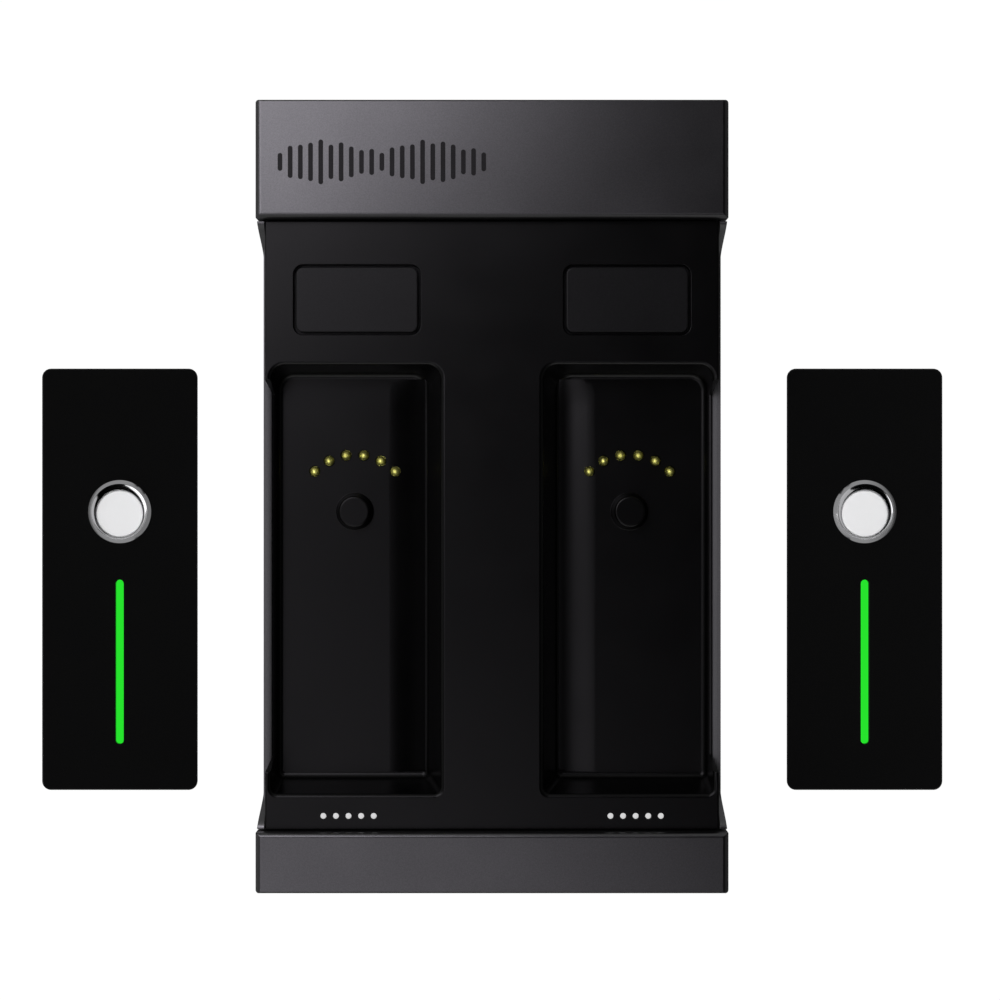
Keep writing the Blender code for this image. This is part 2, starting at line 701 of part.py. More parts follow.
def case_screw(number, x, y, dock):
    """A countersunk screw from under the pan, through the board, up into the tray's post."""
    low = BASE + 0.00012
    tip = ((0.0, SCREW_TOP), (SCREW_SHANK - 0.0003, SCREW_TOP), (SCREW_SHANK, SCREW_TOP - 0.0006))
    head = ((SCREW_SHANK, BASE + PAN + 0.0001), (SCREW_HEAD, low), (0.0, low))
    profile = tip + head
    screw = turned(profile, 16)
    screw.location = (x, y, 0)
    return finish_part(screw, f"case_screw_{number}", "steel", dock)


def rubber_foot(place, x, y, dock):
    top = BASE - 0.0001
    radius, edge = FOOT_RADIUS, 0.0003
    profile = ((0.0, top), (radius, top), (radius, edge), (radius - edge, 0.0), (0.0, 0.0))
    foot = turned(profile, 24)
    foot.location = (x, y, 0)
    return finish_part(foot, f"rubber_foot_{place}", "rubber", dock)


# ------------------------------------------------------------------ transmitters
def tx_ring(height, inset=0.0):
    """The transmitter's outline at a height: it narrows towards its foot, as the bays do."""
    share = height / TX_HEIGHT
    size = {key: TX_FOOT[key] + (TX_TOP[key] - TX_FOOT[key]) * share for key in TX_TOP}
    half_x, half_y = size["half_x"] - inset, size["half_y"] - inset
    outline = rounded_outline(-half_x, half_x, -half_y, half_y, max(size["corner"] - inset, 0.0004))
    return [(x, y, height) for x, y in outline]


def lowered(ring, z):
    return [(x, y, z) for x, y, _ in ring]


def tx_shell(name, empty):
    low, shoulder = TX_SPLIT + 0.0002, TX_HEIGHT - TX_EDGE
    part_way = 0.3 * TX_EDGE
    upper = lowered(tx_ring(shoulder, part_way), TX_HEIGHT - part_way)
    brim = lowered(tx_ring(shoulder, TX_EDGE), TX_HEIGHT)
    shell = loft([tx_ring(low), tx_ring(shoulder), upper, brim])
    inner_top, above = TX_HEIGHT - TX_WALL, TX_HEIGHT + BEYOND
    hollow = loft([lowered(tx_ring(low, TX_WALL), low - BEYOND), tx_ring(inner_top, TX_WALL)])
    ring_hole = cylinder(0, TX_AXIS, inner_top - BEYOND, above, SEAT_RADIUS, 32)
    half = BAR_WIDTH / 2 + 0.0001
    bar_hole = rounded_outline(-half, half, BAR_FRONT - 0.0001, BAR_BACK + 0.0001, half * 0.98)
    slot = plate(bar_hole, inner_top - BEYOND, above)
    cut(shell, hollow, ring_hole, slot, parent=empty)
    return finish_part(shell, f"{name}_shell", "transmitter_black", empty)


def pad_spots():
    return [on_circle(0, TX_AXIS, PIN_CIRCLE, angle) for angle in PIN_ANGLES]


def tx_base(name, empty):
    """The lower cover, with the blind socket that goes over a spindle or the dock's boss."""
    base = loft([tx_ring(0.0), tx_ring(TX_SPLIT)])
    lip, lip_inset, lip_wall = 0.003, TX_WALL + GAP, 0.0008
    rim = loft([lowered(tx_ring(TX_SPLIT, lip_inset), TX_SPLIT - 0.0005), tx_ring(lip, lip_inset)])
    inside = tx_ring(lip, lip_inset + lip_wall)
    cut(rim, loft([lowered(inside, TX_SPLIT), lowered(inside, lip + BEYOND)]), parent=empty)
    well = cylinder(0, TX_AXIS, 0.0010, SOCKET_DEPTH + TX_WALL, SOCKET_RADIUS + 0.0010, 24)
    join(base, rim, well, parent=empty)
    socket = cylinder(0, TX_AXIS, -BEYOND, SOCKET_DEPTH, SOCKET_RADIUS, 24)
    pads = row_of([cylinder(x, y, -BEYOND, TX_SPLIT + 0.0005, PAD_WINDOW, 12) for x, y in pad_spots()])
    cut(base, socket, pads, parent=empty)
    return finish_part(base, f"{name}_base", "transmitter_black", empty)


def tx_bezel(name, empty):
    """The chrome ring around the button, with a dished inner face."""
    top, face = TX_HEIGHT + 0.0006, TX_HEIGHT + 0.00005
    bore = BUTTON_RADIUS + 0.00015
    profile = (
        (SEAT_RADIUS, top),
        (BEZEL_RADIUS - 0.0001, top - 0.0001),
        (BEZEL_RADIUS, face),
        (BEZEL_NECK, face),
        (BEZEL_NECK, BEZEL_LOW),
        (bore, BEZEL_LOW),
        (bore, TX_HEIGHT - 0.0004),
    )
    ring = turned(profile, 32, closed=True)
    ring.location = (0, TX_AXIS, 0)
    return finish_part(ring, f"{name}_bezel", "chrome", empty)


def tx_button(name, location):
    """The round button: a cap with a flange that the bezel keeps in."""
    empty = new_empty(f"{name}_button_axis", location)
    top, edge, radius = TX_HEIGHT - 0.00005, 0.0003, BUTTON_RADIUS
    cap = ((0.0, top), (radius - edge, top), (radius, top - edge), (radius, FLANGE_TOP))
    flange = ((FLANGE_RADIUS, FLANGE_TOP), (FLANGE_RADIUS, FLANGE_LOW), (0.0, FLANGE_LOW))
    button = turned(cap + flange, 32)
    return finish_part(button, f"{name}_button", "button_silver", empty)


def tx_light_bar(name, empty):
    half = BAR_WIDTH / 2
    bar = plate(rounded_outline(-half, half, BAR_FRONT, BAR_BACK, half * 0.98), BAR_LOW, TX_HEIGHT)
    low = (-BAR_FOOT_HALF, BAR_FRONT - 0.0005, BAR_LOW)
    foot = box(low, (BAR_FOOT_HALF, BAR_BACK + 0.0005, BAR_LOW + 0.0014))
    join(bar, foot, parent=empty)
    return finish_part(bar, f"{name}_light_bar", "lamp_green", empty)


def tx_board(name, empty):
    """The board with its motion sensor and its radio chip."""
    half_x, half_y, top = TX_BOARD["half_x"], TX_BOARD["half_y"], TX_BOARD["top"]
    outline = rounded_outline(-half_x, half_x, -half_y, half_y, TX_BOARD["corner"])
    board = plate(outline, TX_BOARD["low"], top)
    chips = [box((x0, y0, top - 0.0002), (x1, y1, top + height)) for x0, x1, y0, y1, height in TX_CHIPS]
    join(board, *chips, parent=empty)
    return finish_part(board, f"{name}_board", "board_green", empty)


def tx_battery(name, empty):
    half = CELL["half"]
    cell = box((-half, CELL["front"], CELL["low"]), (half, CELL["back"], CELL["top"]))
    return finish_part(soften(cell, 0.0008), f"{name}_battery", "battery_wrap", empty)


def tx_contacts(name, empty):
    """Six pads on one arc-shaped board, each ending just inside the base's face."""
    arc = plate(arc_outline(0, TX_AXIS, PIN_CIRCLE - 0.0014, PIN_CIRCLE + 0.0014, 55), 0.0018, 0.0026)
    pads = [cylinder(x, y, 0.00006, 0.0019, 0.00105, 12) for x, y in pad_spots()]
    join(arc, *pads, parent=empty)
    return finish_part(arc, f"{name}_contacts", "gold", empty)


def tx_switch(name, empty):
    half, top = 0.0022, TX_BOARD["top"]
    switch = box((-half, TX_AXIS - half, top + 0.0001), (half, TX_AXIS + half, top + 0.0008))
    return finish_part(switch, f"{name}_switch", "steel", empty)


def tx_magnet(name, empty):
    outer, inner, low, top = (MAGNET[key] for key in ("outer", "inner", "low", "top"))
    ring = turned(((outer, top), (outer, low), (inner, low), (inner, top)), 24, closed=True)
    ring.location = (0, TX_AXIS, 0)
    return finish_part(ring, f"{name}_magnet", "magnet_nickel", empty)


def transmitter(side):
    name = f"transmitter_{side_name(side)}"
    empty = new_empty(name, (side * TX_X, TX_Y, 0))
    tx_shell(name, empty)
    tx_base(name, empty)
    tx_bezel(name, empty)
    tx_light_bar(name, empty)
    tx_board(name, empty)
    tx_battery(name, empty)
    tx_contacts(name, empty)
    tx_switch(name, empty)
    tx_magnet(name, empty)
    tx_button(name, (side * TX_X, TX_Y + TX_AXIS, 0))


# ------------------------------------------------------------------ the set
def build_dock():
    dock = new_empty("dock", (0, 0, 0))
    chassis_pan(dock)
    head_cover(dock)
    foot_cover(dock)
    tray(dock)
    main_board(dock)
    radio_shield(dock)
    rear_panel(dock)
    usb_socket(dock)
    for number, x in enumerate(JACK_XS, start=1):
        phono_jack(number, x, dock)
    for number, (x, y) in enumerate(SCREW_SPOTS, start=1):
        case_screw(number, x, y, dock)
    for place, (x, y) in FOOT_SPOTS.items():
        rubber_foot(place, x, y, dock)
    for side in (-1, 1):
        light_pipe(side, dock)
        contact_carrier(side, dock)
        bay_magnet(side, dock)
        contact_pins(side)
        deck_key(side)


build_dock()
for which in (-1, 1):
    transmitter(which)
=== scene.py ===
"""Looks for the wireless transmitter set: a charging dock with two bays, and two transmitters beside it.

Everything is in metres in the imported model's frame. The view is straight down, as in the photograph.
"""

import json
import math

import bmesh
import bpy
from mathutils import Matrix, Vector

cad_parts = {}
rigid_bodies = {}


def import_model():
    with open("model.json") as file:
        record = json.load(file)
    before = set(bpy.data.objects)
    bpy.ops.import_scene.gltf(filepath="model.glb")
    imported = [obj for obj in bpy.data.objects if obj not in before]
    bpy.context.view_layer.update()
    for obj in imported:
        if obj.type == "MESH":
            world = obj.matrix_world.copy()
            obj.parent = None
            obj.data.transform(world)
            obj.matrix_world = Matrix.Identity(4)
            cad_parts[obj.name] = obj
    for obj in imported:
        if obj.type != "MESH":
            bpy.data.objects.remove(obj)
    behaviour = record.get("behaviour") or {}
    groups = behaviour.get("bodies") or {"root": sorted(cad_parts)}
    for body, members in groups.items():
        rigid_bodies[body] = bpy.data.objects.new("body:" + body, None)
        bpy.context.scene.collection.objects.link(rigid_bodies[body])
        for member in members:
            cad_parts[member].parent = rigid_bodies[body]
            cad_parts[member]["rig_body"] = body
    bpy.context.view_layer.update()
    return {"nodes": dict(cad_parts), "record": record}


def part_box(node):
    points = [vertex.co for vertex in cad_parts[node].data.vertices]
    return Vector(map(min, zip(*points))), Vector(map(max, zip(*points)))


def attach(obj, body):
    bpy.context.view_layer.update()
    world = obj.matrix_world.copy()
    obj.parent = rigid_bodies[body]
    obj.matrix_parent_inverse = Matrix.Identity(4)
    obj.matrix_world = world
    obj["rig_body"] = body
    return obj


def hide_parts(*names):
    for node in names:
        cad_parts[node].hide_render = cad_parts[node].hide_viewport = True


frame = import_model()
NODES = frame["nodes"]
TAU = 2 * math.pi  # a full turn
SIDES = {"left": -1, "right": 1}

# ---------------- camera and light
CAMERA_HEIGHT = 0.527
CAMERA_OFFSET = (0.001525, -0.00067)
LENS = 94.4
SENSOR = 36.0
CLIP = (0.01, 20)
FLOOR_HALF = 3
FLOOR_GLOW = 1.0
WALL_LIGHT = 0.13  # the world's brightness, which fades to nothing overhead
WALL_FADE = (0.55, 0.75)  # where it fades, from 0 straight down to 1 straight up
DIM_SIDE = 0.35  # what is left of it towards +X
DIM_FADE = (0.6, 0.85)  # where it dims, from 0 at -X to 1 at +X
KEY_TINT = (1.0, 0.955, 1.04)

# Soft boxes: place, target, width, length and power.
LEFT_BOX = ((-0.1263, 0.1348, 0.2674), (-0.02, 0.02, 0.02), 0.2124, 0.2133, 0.138)
FRONT_BOX = ((-0.1983, -0.2264, 0.75), (0, -0.03, 0.02), 0.4551, 0.4551, 0.242)
BAY_STRIP = ((-0.05, -0.45, 0.25), (0, 0, 0.01), 0.6, 0.2, 0.19)
RING_GLINT = ((-1.13, -0.64, 1.016), (0, 0, 0), 1.38, 0.9, 3.9)
BUTTON_TOP = ((0.0, 0.0, 1.0), (0, 0, 0), 1.0, 1.0, 7.9)
PIN_TOP = ((-0.1, -0.1, 0.5), (0, 0, 0), 0.4, 0.4, 1.15)

# Upright panels round the transmitters: start and end in degrees anticlockwise from +X, low, high and glow.
LOW_PANELS = [(start, start + 90, 0.05, 0.65, 0.14) for start in (-45, 45, 135, 225)]
HIGH_PANELS = [(-45, 30, 0.65, 2.8, 0.45)]
HIGH_PANELS += [(start, end, 0.65, 1.75, 0.45) for start, end in ((30, 100), (100, 165), (165, 232))]

# ---------------- places taken from the frame
TRAY_LOW, TRAY_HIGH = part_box("tray")
HEAD_LOW, HEAD_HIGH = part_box("head_cover")
FOOT_LOW, FOOT_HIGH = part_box("foot_cover")
PAN_LOW, PAN_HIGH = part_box("chassis_pan")

# ---------------- shared working sizes
PAST = 0.001  # how far a cutter reaches past the face it opens
CLEAR_OFF = 0.01  # how far it reaches where nothing else is near
COPLANAR = 0.00001  # keeps two faces from lying in one plane
LEAST_CORNER = 0.0003

# ---------------- the tray and its bays
TRAY_TOP = TRAY_HIGH.z
TRAY_DRAFT = 0.00005
TRAY_LEDGE = 0.0063  # how far below the deck the tray's skirt ends
TRAY_LEDGE_RISE = 0.0002
TUB_HALF = 0.0427
BAY_FLOOR = 0.0112
# Inner and outer X, front and back Y, front and back corner radii.
BAY_MOUTH = (0.0098, 0.0425, -0.0572, 0.0253, 0.0012, 0.0026)
BAY_BED = (0.0126, 0.0421, -0.0552, 0.02415, 0.0013, 0.0034)
BED_FILLET = 0.0011
RIM_ROUND = 0.0008
CREASE = 0.01985
CREASE_ROUND = 0.0011
TROUGH_TURN = 0.0184  # X where the roll-over from the bed ends and the even steepening begins
TROUGH_SLOPE = 0.16
TROUGH_FOOT_SLOPE = 0.30
TROUGH_FOOT_ROUND = 0.0006
TROUGH_RAMP = 0.0058  # length over which it deepens, from the bay's back wall
SCOOP_LOW = 0.0162
SCOOP_FRONT = -0.0533
SCOOP_BACK = 0.0228
SCOOP_RAMP = 0.0037
SCOOP_OUT = 0.0470
SCOOP_CORNERS = ((0.0226, 0.0184), (-0.0533, -0.0487))  # Y of each slanting cut, at the edge and at the bed
SCOOP_CORNER_X = (0.0437, 0.0480)
LIP_ROUND = 0.0013
BOSS_X = 0.0270
BOSS_Y = -0.00295
BOSS_HEIGHT = 0.0030
BOSS_ROOT = 0.0036
BOSS_TIP = 0.0031
BOSS_EDGE = 0.0005
BOSS_FILLET = 0.00015
PIN_COUNT = 6
PIN_HOLE = 0.00102
PIN_HOLE_CHAMFER = 0.00012
PIN_HOLE_LOW = 0.008
PIN_RADIUS = 0.00086
PIN_FLANGE = 0.00125
PIN_NECK = 0.0083
LAMP_PITCH = 0.00242
LAMP_COUNT = 5
LAMP_RADIUS = 0.00051
LAMP_SLIT = 0.00006
LAMP_CROWN = 0.00008
LAMP_HOLE_LOW = 0.018
LAMP_ROW_SETBACK = 0.0008
LAMP_BAR_LOW = 0.0194

# ---------------- the two keys
KEY_FLANGE = 0.001
KEY_CORNER = 0.0014
KEY_EDGE = 0.00028
KEY_STEM = 0.0015
KEY_SLIT = 0.0005
WELL_DEPTH = 0.004
WELL_CORNER = 0.0019
WELL_EDGE = 0.00018
DECK_THICKNESS = 0.0019

# ---------------- the metal ends and side rails
SIDE_ROUND = 0.0012  # rounding along the covers' long sides
DECK_EDGE_SHARE = 0.8  # the other edges' rounding, as shares of it
END_EDGE_SHARE = 0.3
UPRIGHT_EDGE_SHARE = 0.5
DECK_CORNER_SHARE = 0.12
SHEET = 0.0015
PASSAGE = 0.0212
FOOT_PASSAGE = 0.004
GAP = 0.0003  # between a rail's end and its cover
METAL_GLOSS = 0.30
METAL_TONE = 0.30
RUBBED_TONE = 0.42
RUBBED_REACH = 0.0020  # height above and below the rails' tops within which their looks change
PAN_HALF = 0.0431
PAN_PLATE = 0.0012
RAIL_OUT = 0.0445
RAIL_IN = 0.0429
RAIL_TOP = 0.0165
FLARE_IN = 0.0438
RAIL_ROUND = 0.0010
TONGUE = (0.0430, 0.0194, 0.0209)  # half width, low and high of the lips that reach in under the covers
TONGUE_LENGTH = 0.0015
FLARE_LENGTH = 0.0062
SINK_HOLE = 0.0015
SINK_MOUTH = 0.0029
SINK_REACH = 0.004

# ---------------- the transmitters
TX_TOP_SIZE = (0.0153, 0.0414, 0.0018)  # half width, half length and corner radius at the top
TX_FOOT_SIZE = (0.0135, 0.0374, 0.0014)
TX_SPLIT = 0.0015
TX_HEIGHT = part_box("transmitter_left_shell")[1].z
TX_WALL = 0.0012
TX_EDGE = 0.0005
SOCKET_RADIUS = 0.0042
SOCKET_DEPTH = 0.0070
PAD_CIRCLE = 0.0112
PAD_ANGLES = (45, 63, 81, 99, 117, 135)
PAD_WINDOW = (0.00125, 0.0002)  # radius and chamfer
BEZEL_SEAT = 0.0056
BAR_HALF = 0.00133 / 2
BAR_SLIT = 0.00012
BAR_END = 0.0005
BAR_CROWN = 0.00012
BAR_ROUND_SHARE = 0.98
BUTTON_SHIFT = 0.0004  # the button sits this far forward in its ring
DISH_START = 0.0875  # slope of the bezel's dish beside the button
DISH_RISE = 0.281

# ---------------- connectors and fixings
FITTINGS = 4  # the number of phono jacks, and of case screws
JACK_GAP = 0.0003
FOOT_EDGE = 0.0004

# ---------------- the plain mark on the head cover
MARK_LEFT = -0.0414
MARK_RIGHT = -0.0006
MARK_MIDDLE_Y = 0.0638
MARK_HEIGHT = 0.0086
MARK_BARS = 21
MARK_BAR_SHARE = 0.46  # a bar's share of its pitch
MARK_SUNK = 0.00002
MARK_PROUD = 0.000015


# ---------------- node-based materials
def new_material(name, colour, roughness, metallic=0.0):
    """A material with its Principled shader and its node tree, ready for its own detail."""
    material = bpy.data.materials.new(name)
    material.use_nodes = True
    tree = material.node_tree
    shader = tree.nodes["Principled BSDF"]
    shader.inputs["Base Color"].default_value = (*colour, 1.0)
    shader.inputs["Roughness"].default_value = roughness
    shader.inputs["Metallic"].default_value = metallic
    return material, tree, shader


def object_place(tree):
    return tree.nodes.new("ShaderNodeTexCoord").outputs["Object"]


def stretched(tree, scale):
    mapping = tree.nodes.new("ShaderNodeMapping")
    mapping.inputs["Scale"].default_value = scale
    tree.links.new(object_place(tree), mapping.inputs["Vector"])
    return mapping.outputs["Vector"]


def noise(tree, scale, detail=3.0, place=None):
    texture = tree.nodes.new("ShaderNodeTexNoise")
    texture.inputs["Scale"].default_value = scale
    texture.inputs["Detail"].default_value = detail
    tree.links.new(place or object_place(tree), texture.inputs["Vector"])
    return texture.outputs["Fac"]


def ranged(tree, source, low, high, start=0.3, end=0.7):
    """Maps a texture's value onto low to high."""
    node = tree.nodes.new("ShaderNodeMapRange")
    node.inputs["From Min"].default_value = start
    node.inputs["From Max"].default_value = end
    node.inputs["To Min"].default_value = low
    node.inputs["To Max"].default_value = high
    tree.links.new(source, node.inputs["Value"])
    return node.outputs["Result"]


def ramp(tree, source, stops):
    node = tree.nodes.new("ShaderNodeValToRGB")
    elements = node.color_ramp.elements
    while len(elements) < len(stops):
        elements.new(0.5)
    for element, (position, colour) in zip(elements, stops):
        element.position = position
        element.color = (*colour, 1.0)
    tree.links.new(source, node.inputs["Fac"])
    return node.outputs["Color"]


def grey_ramp(tree, source, stops):
    return ramp(tree, source, [(position, (level,) * 3) for position, level in stops])


def bump(tree, shader, height, strength, distance):
    node = tree.nodes.new("ShaderNodeBump")
    node.inputs["Strength"].default_value = strength
    node.inputs["Distance"].default_value = distance
    tree.links.new(height, node.inputs["Height"])
    tree.links.new(node.outputs["Normal"], shader.inputs["Normal"])


def graphite_metal(name, tone=METAL_TONE):
    """Bead-blasted, anodised sheet: a fine grain with slight cloudiness."""
    material, tree, shader = new_material(name, (tone, tone, tone * 1.017), METAL_GLOSS, 1.0)
    grain = noise(tree, 5200, 2)
    clouds = noise(tree, 60, 3)
    tree.links.new(ranged(tree, clouds, METAL_GLOSS - 0.02, METAL_GLOSS + 0.02), shader.inputs["Roughness"])
    stops = [(0.3, (tone * 0.9, tone * 0.9, tone * 0.917)), (0.7, (tone * 1.1, tone * 1.1, tone * 1.117))]
    tree.links.new(ramp(tree, grain, stops), shader.inputs["Base Color"])
    bump(tree, shader, grain, 0.12, 0.00002)
    return material


def edged_graphite():
    """The same sheet, paler, with the rails' top edges rubbed matt by the fingers that reach over them."""
    material = graphite_metal("edged_graphite", RUBBED_TONE)
    tree = material.node_tree
    shader = tree.nodes["Principled BSDF"]
    height = tree.nodes.new("ShaderNodeSeparateXYZ")
    tree.links.new(object_place(tree), height.inputs["Vector"])
    share = ranged(tree, height.outputs["Z"], 0.0, 1.0, RAIL_TOP - RUBBED_REACH, RAIL_TOP + RUBBED_REACH)
    bare = grey_ramp(tree, share, [(0.0, 1.0), (0.25, 0.0), (0.52, 0.0), (0.7, 1.0)])
    tree.links.new(bare, shader.inputs["Metallic"])
    shader.inputs["Specular IOR Level"].default_value = 0.2
    return material


def moulded_black(name, colour, roughness, grain_scale=3600, depth=0.00003, specular=0.5):
    """Spark-eroded moulded plastic: a fine matt texture with uneven gloss."""
    material, tree, shader = new_material(name, colour, roughness)
    shader.inputs["Specular IOR Level"].default_value = specular
    grain = noise(tree, grain_scale, 2)
    wear = noise(tree, 90, 4)
    tree.links.new(ranged(tree, wear, roughness - 0.02, roughness + 0.02), shader.inputs["Roughness"])
    lighter = tuple(c * 1.35 for c in colour)
    tree.links.new(ramp(tree, grain, [(0.35, colour), (0.75, lighter)]), shader.inputs["Base Color"])
    bump(tree, shader, grain, 0.15, depth)
    return material


def polished_metal(name, colour, roughness):
    """Bright plating with faint polishing marks."""
    material, tree, shader = new_material(name, colour, roughness, 1.0)
    marks = noise(tree, 1.0, 2, stretched(tree, (300, 300, 6000)))
    tree.links.new(ranged(tree, marks, roughness * 0.7, roughness * 1.4), shader.inputs["Roughness"])
    bump(tree, shader, marks, 0.05, 0.00001)
    return material


def brushed_button():
    """The round button's pale, turned face."""
    material, tree, shader = new_material("button_silver", (0.86, 0.86, 0.87), 0.38, 0.15)
    grain = noise(tree, 2500, 2)
    tree.links.new(ranged(tree, grain, 0.32, 0.44), shader.inputs["Roughness"])
    bump(tree, shader, grain, 0.1, 0.00002)
    return material


def lamp(name, colour, glow, strength):
    """A frosted light guide, lit from inside."""
    material, tree, shader = new_material(name, colour, 0.35)
    frost = noise(tree, 2200, 2)
    tree.links.new(ranged(tree, frost, 0.28, 0.45), shader.inputs["Roughness"])
    shader.inputs["Emission Color"].default_value = (*glow, 1.0)
    shader.inputs["Emission Strength"].default_value = strength
    return material


def rubber():
    material, tree, shader = new_material("rubber", (0.018, 0.018, 0.018), 0.85)
    grain = noise(tree, 1500, 4)
    tree.links.new(ranged(tree, grain, 0.75, 0.95), shader.inputs["Roughness"])
    bump(tree, shader, grain, 0.4, 0.00005)
    return material


def circuit_board():
    """Green solder mask over copper tracks."""
    material, tree, shader = new_material("board_green", (0.01, 0.09, 0.035), 0.35)
    tracks = tree.nodes.new("ShaderNodeTexBrick")
    tracks.inputs["Scale"].default_value = 260
    tracks.inputs["Mortar Size"].default_value = 0.06
    tracks.inputs["Color1"].default_value = (0.008, 0.075, 0.03, 1)
    tracks.inputs["Color2"].default_value = (0.010, 0.085, 0.034, 1)
    tracks.inputs["Mortar"].default_value = (0.02, 0.16, 0.06, 1)
    tree.links.new(object_place(tree), tracks.inputs["Vector"])
    tree.links.new(tracks.outputs["Color"], shader.inputs["Base Color"])
    tree.links.new(ranged(tree, noise(tree, 900, 2), 0.28, 0.42), shader.inputs["Roughness"])
    return material


MATERIALS = {
    "graphite_metal": graphite_metal("graphite_metal"),
    "edged_graphite": edged_graphite(),
    "black_plastic": moulded_black("black_plastic", (0.0012, 0.0012, 0.0013), 0.30, 3600, 0.00002, 0.56),
    "key_black": moulded_black("key_black", (0.024, 0.024, 0.025), 0.34, 3600, 0.00002),
    "transmitter_black": moulded_black("transmitter_black", (0.038, 0.038, 0.039), 0.36, 4200, 0.00002),
    "rubber": rubber(),
    "steel": polished_metal("steel", (0.55, 0.55, 0.56), 0.25),
    "gold": polished_metal("gold", (0.97, 0.94, 0.27), 0.5),
    "chrome": polished_metal("chrome", (0.86, 0.86, 0.88), 0.10),
    "magnet_nickel": polished_metal("magnet_nickel", (0.62, 0.60, 0.57), 0.18),
    "button_silver": brushed_button(),
    "lamp_white": lamp("lamp_white", (0.85, 0.85, 0.85), (1.0, 1.0, 1.0), 0.55),
    "lamp_green": lamp("lamp_green", (0.01, 0.35, 0.015), (0.02, 0.74, 0.026), 1.0),
    "board_green": circuit_board(),
    "battery_wrap": moulded_black("battery_wrap", (0.02, 0.05, 0.16), 0.35),
    "mark_ink": moulded_black("mark_ink", (0.03, 0.028, 0.03), 0.5),
    "insulator_red": moulded_black("insulator_red", (0.45, 0.015, 0.01), 0.35),
    "insulator_white": moulded_black("insulator_white", (0.6, 0.6, 0.58), 0.35),
}
SLOT_OF = {part["node"]: part["material_slot"] for part in frame["record"]["subparts"]}


# ---------------- mesh building
def new_mesh_object(name, bm):
    mesh = bpy.data.meshes.new(name)
    bmesh.ops.recalc_face_normals(bm, faces=bm.faces)
    bm.to_mesh(mesh)
    bm.free()
    obj = bpy.data.objects.new(name, mesh)
    bpy.context.scene.collection.objects.link(obj)
    return obj


def loft(name, rings):
    """A closed solid through rings with equal numbers of points."""
    bm = bmesh.new()
    levels = [[bm.verts.new(point) for point in ring] for ring in rings]
    count = len(rings[0])
    for lower, upper in zip(levels, levels[1:]):
        for i in range(count):
            j = (i + 1) % count
            bm.faces.new((lower[i], lower[j], upper[j], upper[i]))
    bm.faces.new(levels[0][::-1])
    bm.faces.new(levels[-1])
    bmesh.ops.remove_doubles(bm, verts=bm.verts, dist=1e-7)
    return new_mesh_object(name, bm)


def rounded_outline(x0, x1, y0, y1, corner, steps=10, back_corner=None):
    """Points of a rectangle with round corners, anticlockwise. Its two corners at the back can differ."""
    back = back_corner or corner
    points = []
    for quarter in range(4):
        radius = back if quarter < 2 else corner
        cx = x1 - radius if quarter in (0, 3) else x0 + radius
        cy = y1 - radius if quarter < 2 else y0 + radius
        for step in range(steps + 1):
            angle = (quarter + step / steps) * TAU / 4
            points.append((cx + radius * math.cos(angle), cy + radius * math.sin(angle)))
    return points


def prism(name, outline, low, high, along="Z"):
    """An outline given thickness. Along Z it is (x, y), along Y it is (x, z) and along X it is (y, z)."""
    rings = []
    for w in (low, high):
        if along == "Z":
            rings.append([(u, v, w) for u, v in outline])
        elif along == "Y":
            rings.append([(u, w, v) for u, v in outline])
        else:
            rings.append([(w, u, v) for u, v in outline])
    return loft(name, rings)


def block(name, low, high):
    outline = [(low[0], low[1]), (high[0], low[1]), (high[0], high[1]), (low[0], high[1])]
    return prism(name, outline, low[2], high[2])


def turned(name, profile, place, segments=64, axis="Z", closed=False):
    """A solid of revolution from (radius, height) points, which end on the axis or form a closed ring."""
    bm = bmesh.new()
    angles = [TAU * i / segments for i in range(segments)]
    rings = []
    for radius, height in profile:
        if radius < 1e-9:
            rings.append([bm.verts.new((0, 0, height))] * segments)
        else:
            rings.append([bm.verts.new((radius * math.cos(a), radius * math.sin(a), height)) for a in angles])
    pairs = list(zip(rings, rings[1:]))
    if closed:
        pairs.append((rings[-1], rings[0]))
    for first, second in pairs:
        for i in range(segments):
            j = (i + 1) % segments
            corners = list(dict.fromkeys((first[i], second[i], second[j], first[j])))
            if len(corners) > 2:
                bm.faces.new(corners)
    obj = new_mesh_object(name, bm)
    if axis == "Y":
        obj.data.transform(Matrix.Rotation(-TAU / 4, 4, "X"))
    obj.data.transform(Matrix.Translation(place))
    return obj


def arc(centre_r, centre_z, radius, start, end, steps=8):
    """Points of an arc in a turned profile, by angle in degrees from the outward direction."""
    angles = [math.radians(start + (end - start) * i / steps) for i in range(steps + 1)]
    return [(centre_r + radius * math.cos(a), centre_z + radius * math.sin(a)) for a in angles]


def rod(name, radius, low, high, place, segments):
    return turned(name, [(0.0, high), (radius, high), (radius, low), (0.0, low)], place, segments)


def turns(steps, start=0, end=90):
    """The sine and cosine of evenly spaced angles in degrees, both ends included."""
    angles = [math.radians(start + (end - start) * i / steps) for i in range(steps + 1)]
    return [(math.sin(angle), math.cos(angle)) for angle in angles]


def apply_modifiers(obj):
    bpy.context.view_layer.update()
    graph = bpy.context.evaluated_depsgraph_get()
    mesh = bpy.data.meshes.new_from_object(obj.evaluated_get(graph))
    obj.modifiers.clear()
    old = obj.data
    obj.data = mesh
    bpy.data.meshes.remove(old)
    return obj


def boolean(obj, others, operation="DIFFERENCE"):
    for other in others:
        modifier = obj.modifiers.new("boolean", "BOOLEAN")
        modifier.operation = operation
        modifier.solver = "EXACT"
        modifier.object = other
    apply_modifiers(obj)
    for other in others:
        bpy.data.objects.remove(other)
    return obj


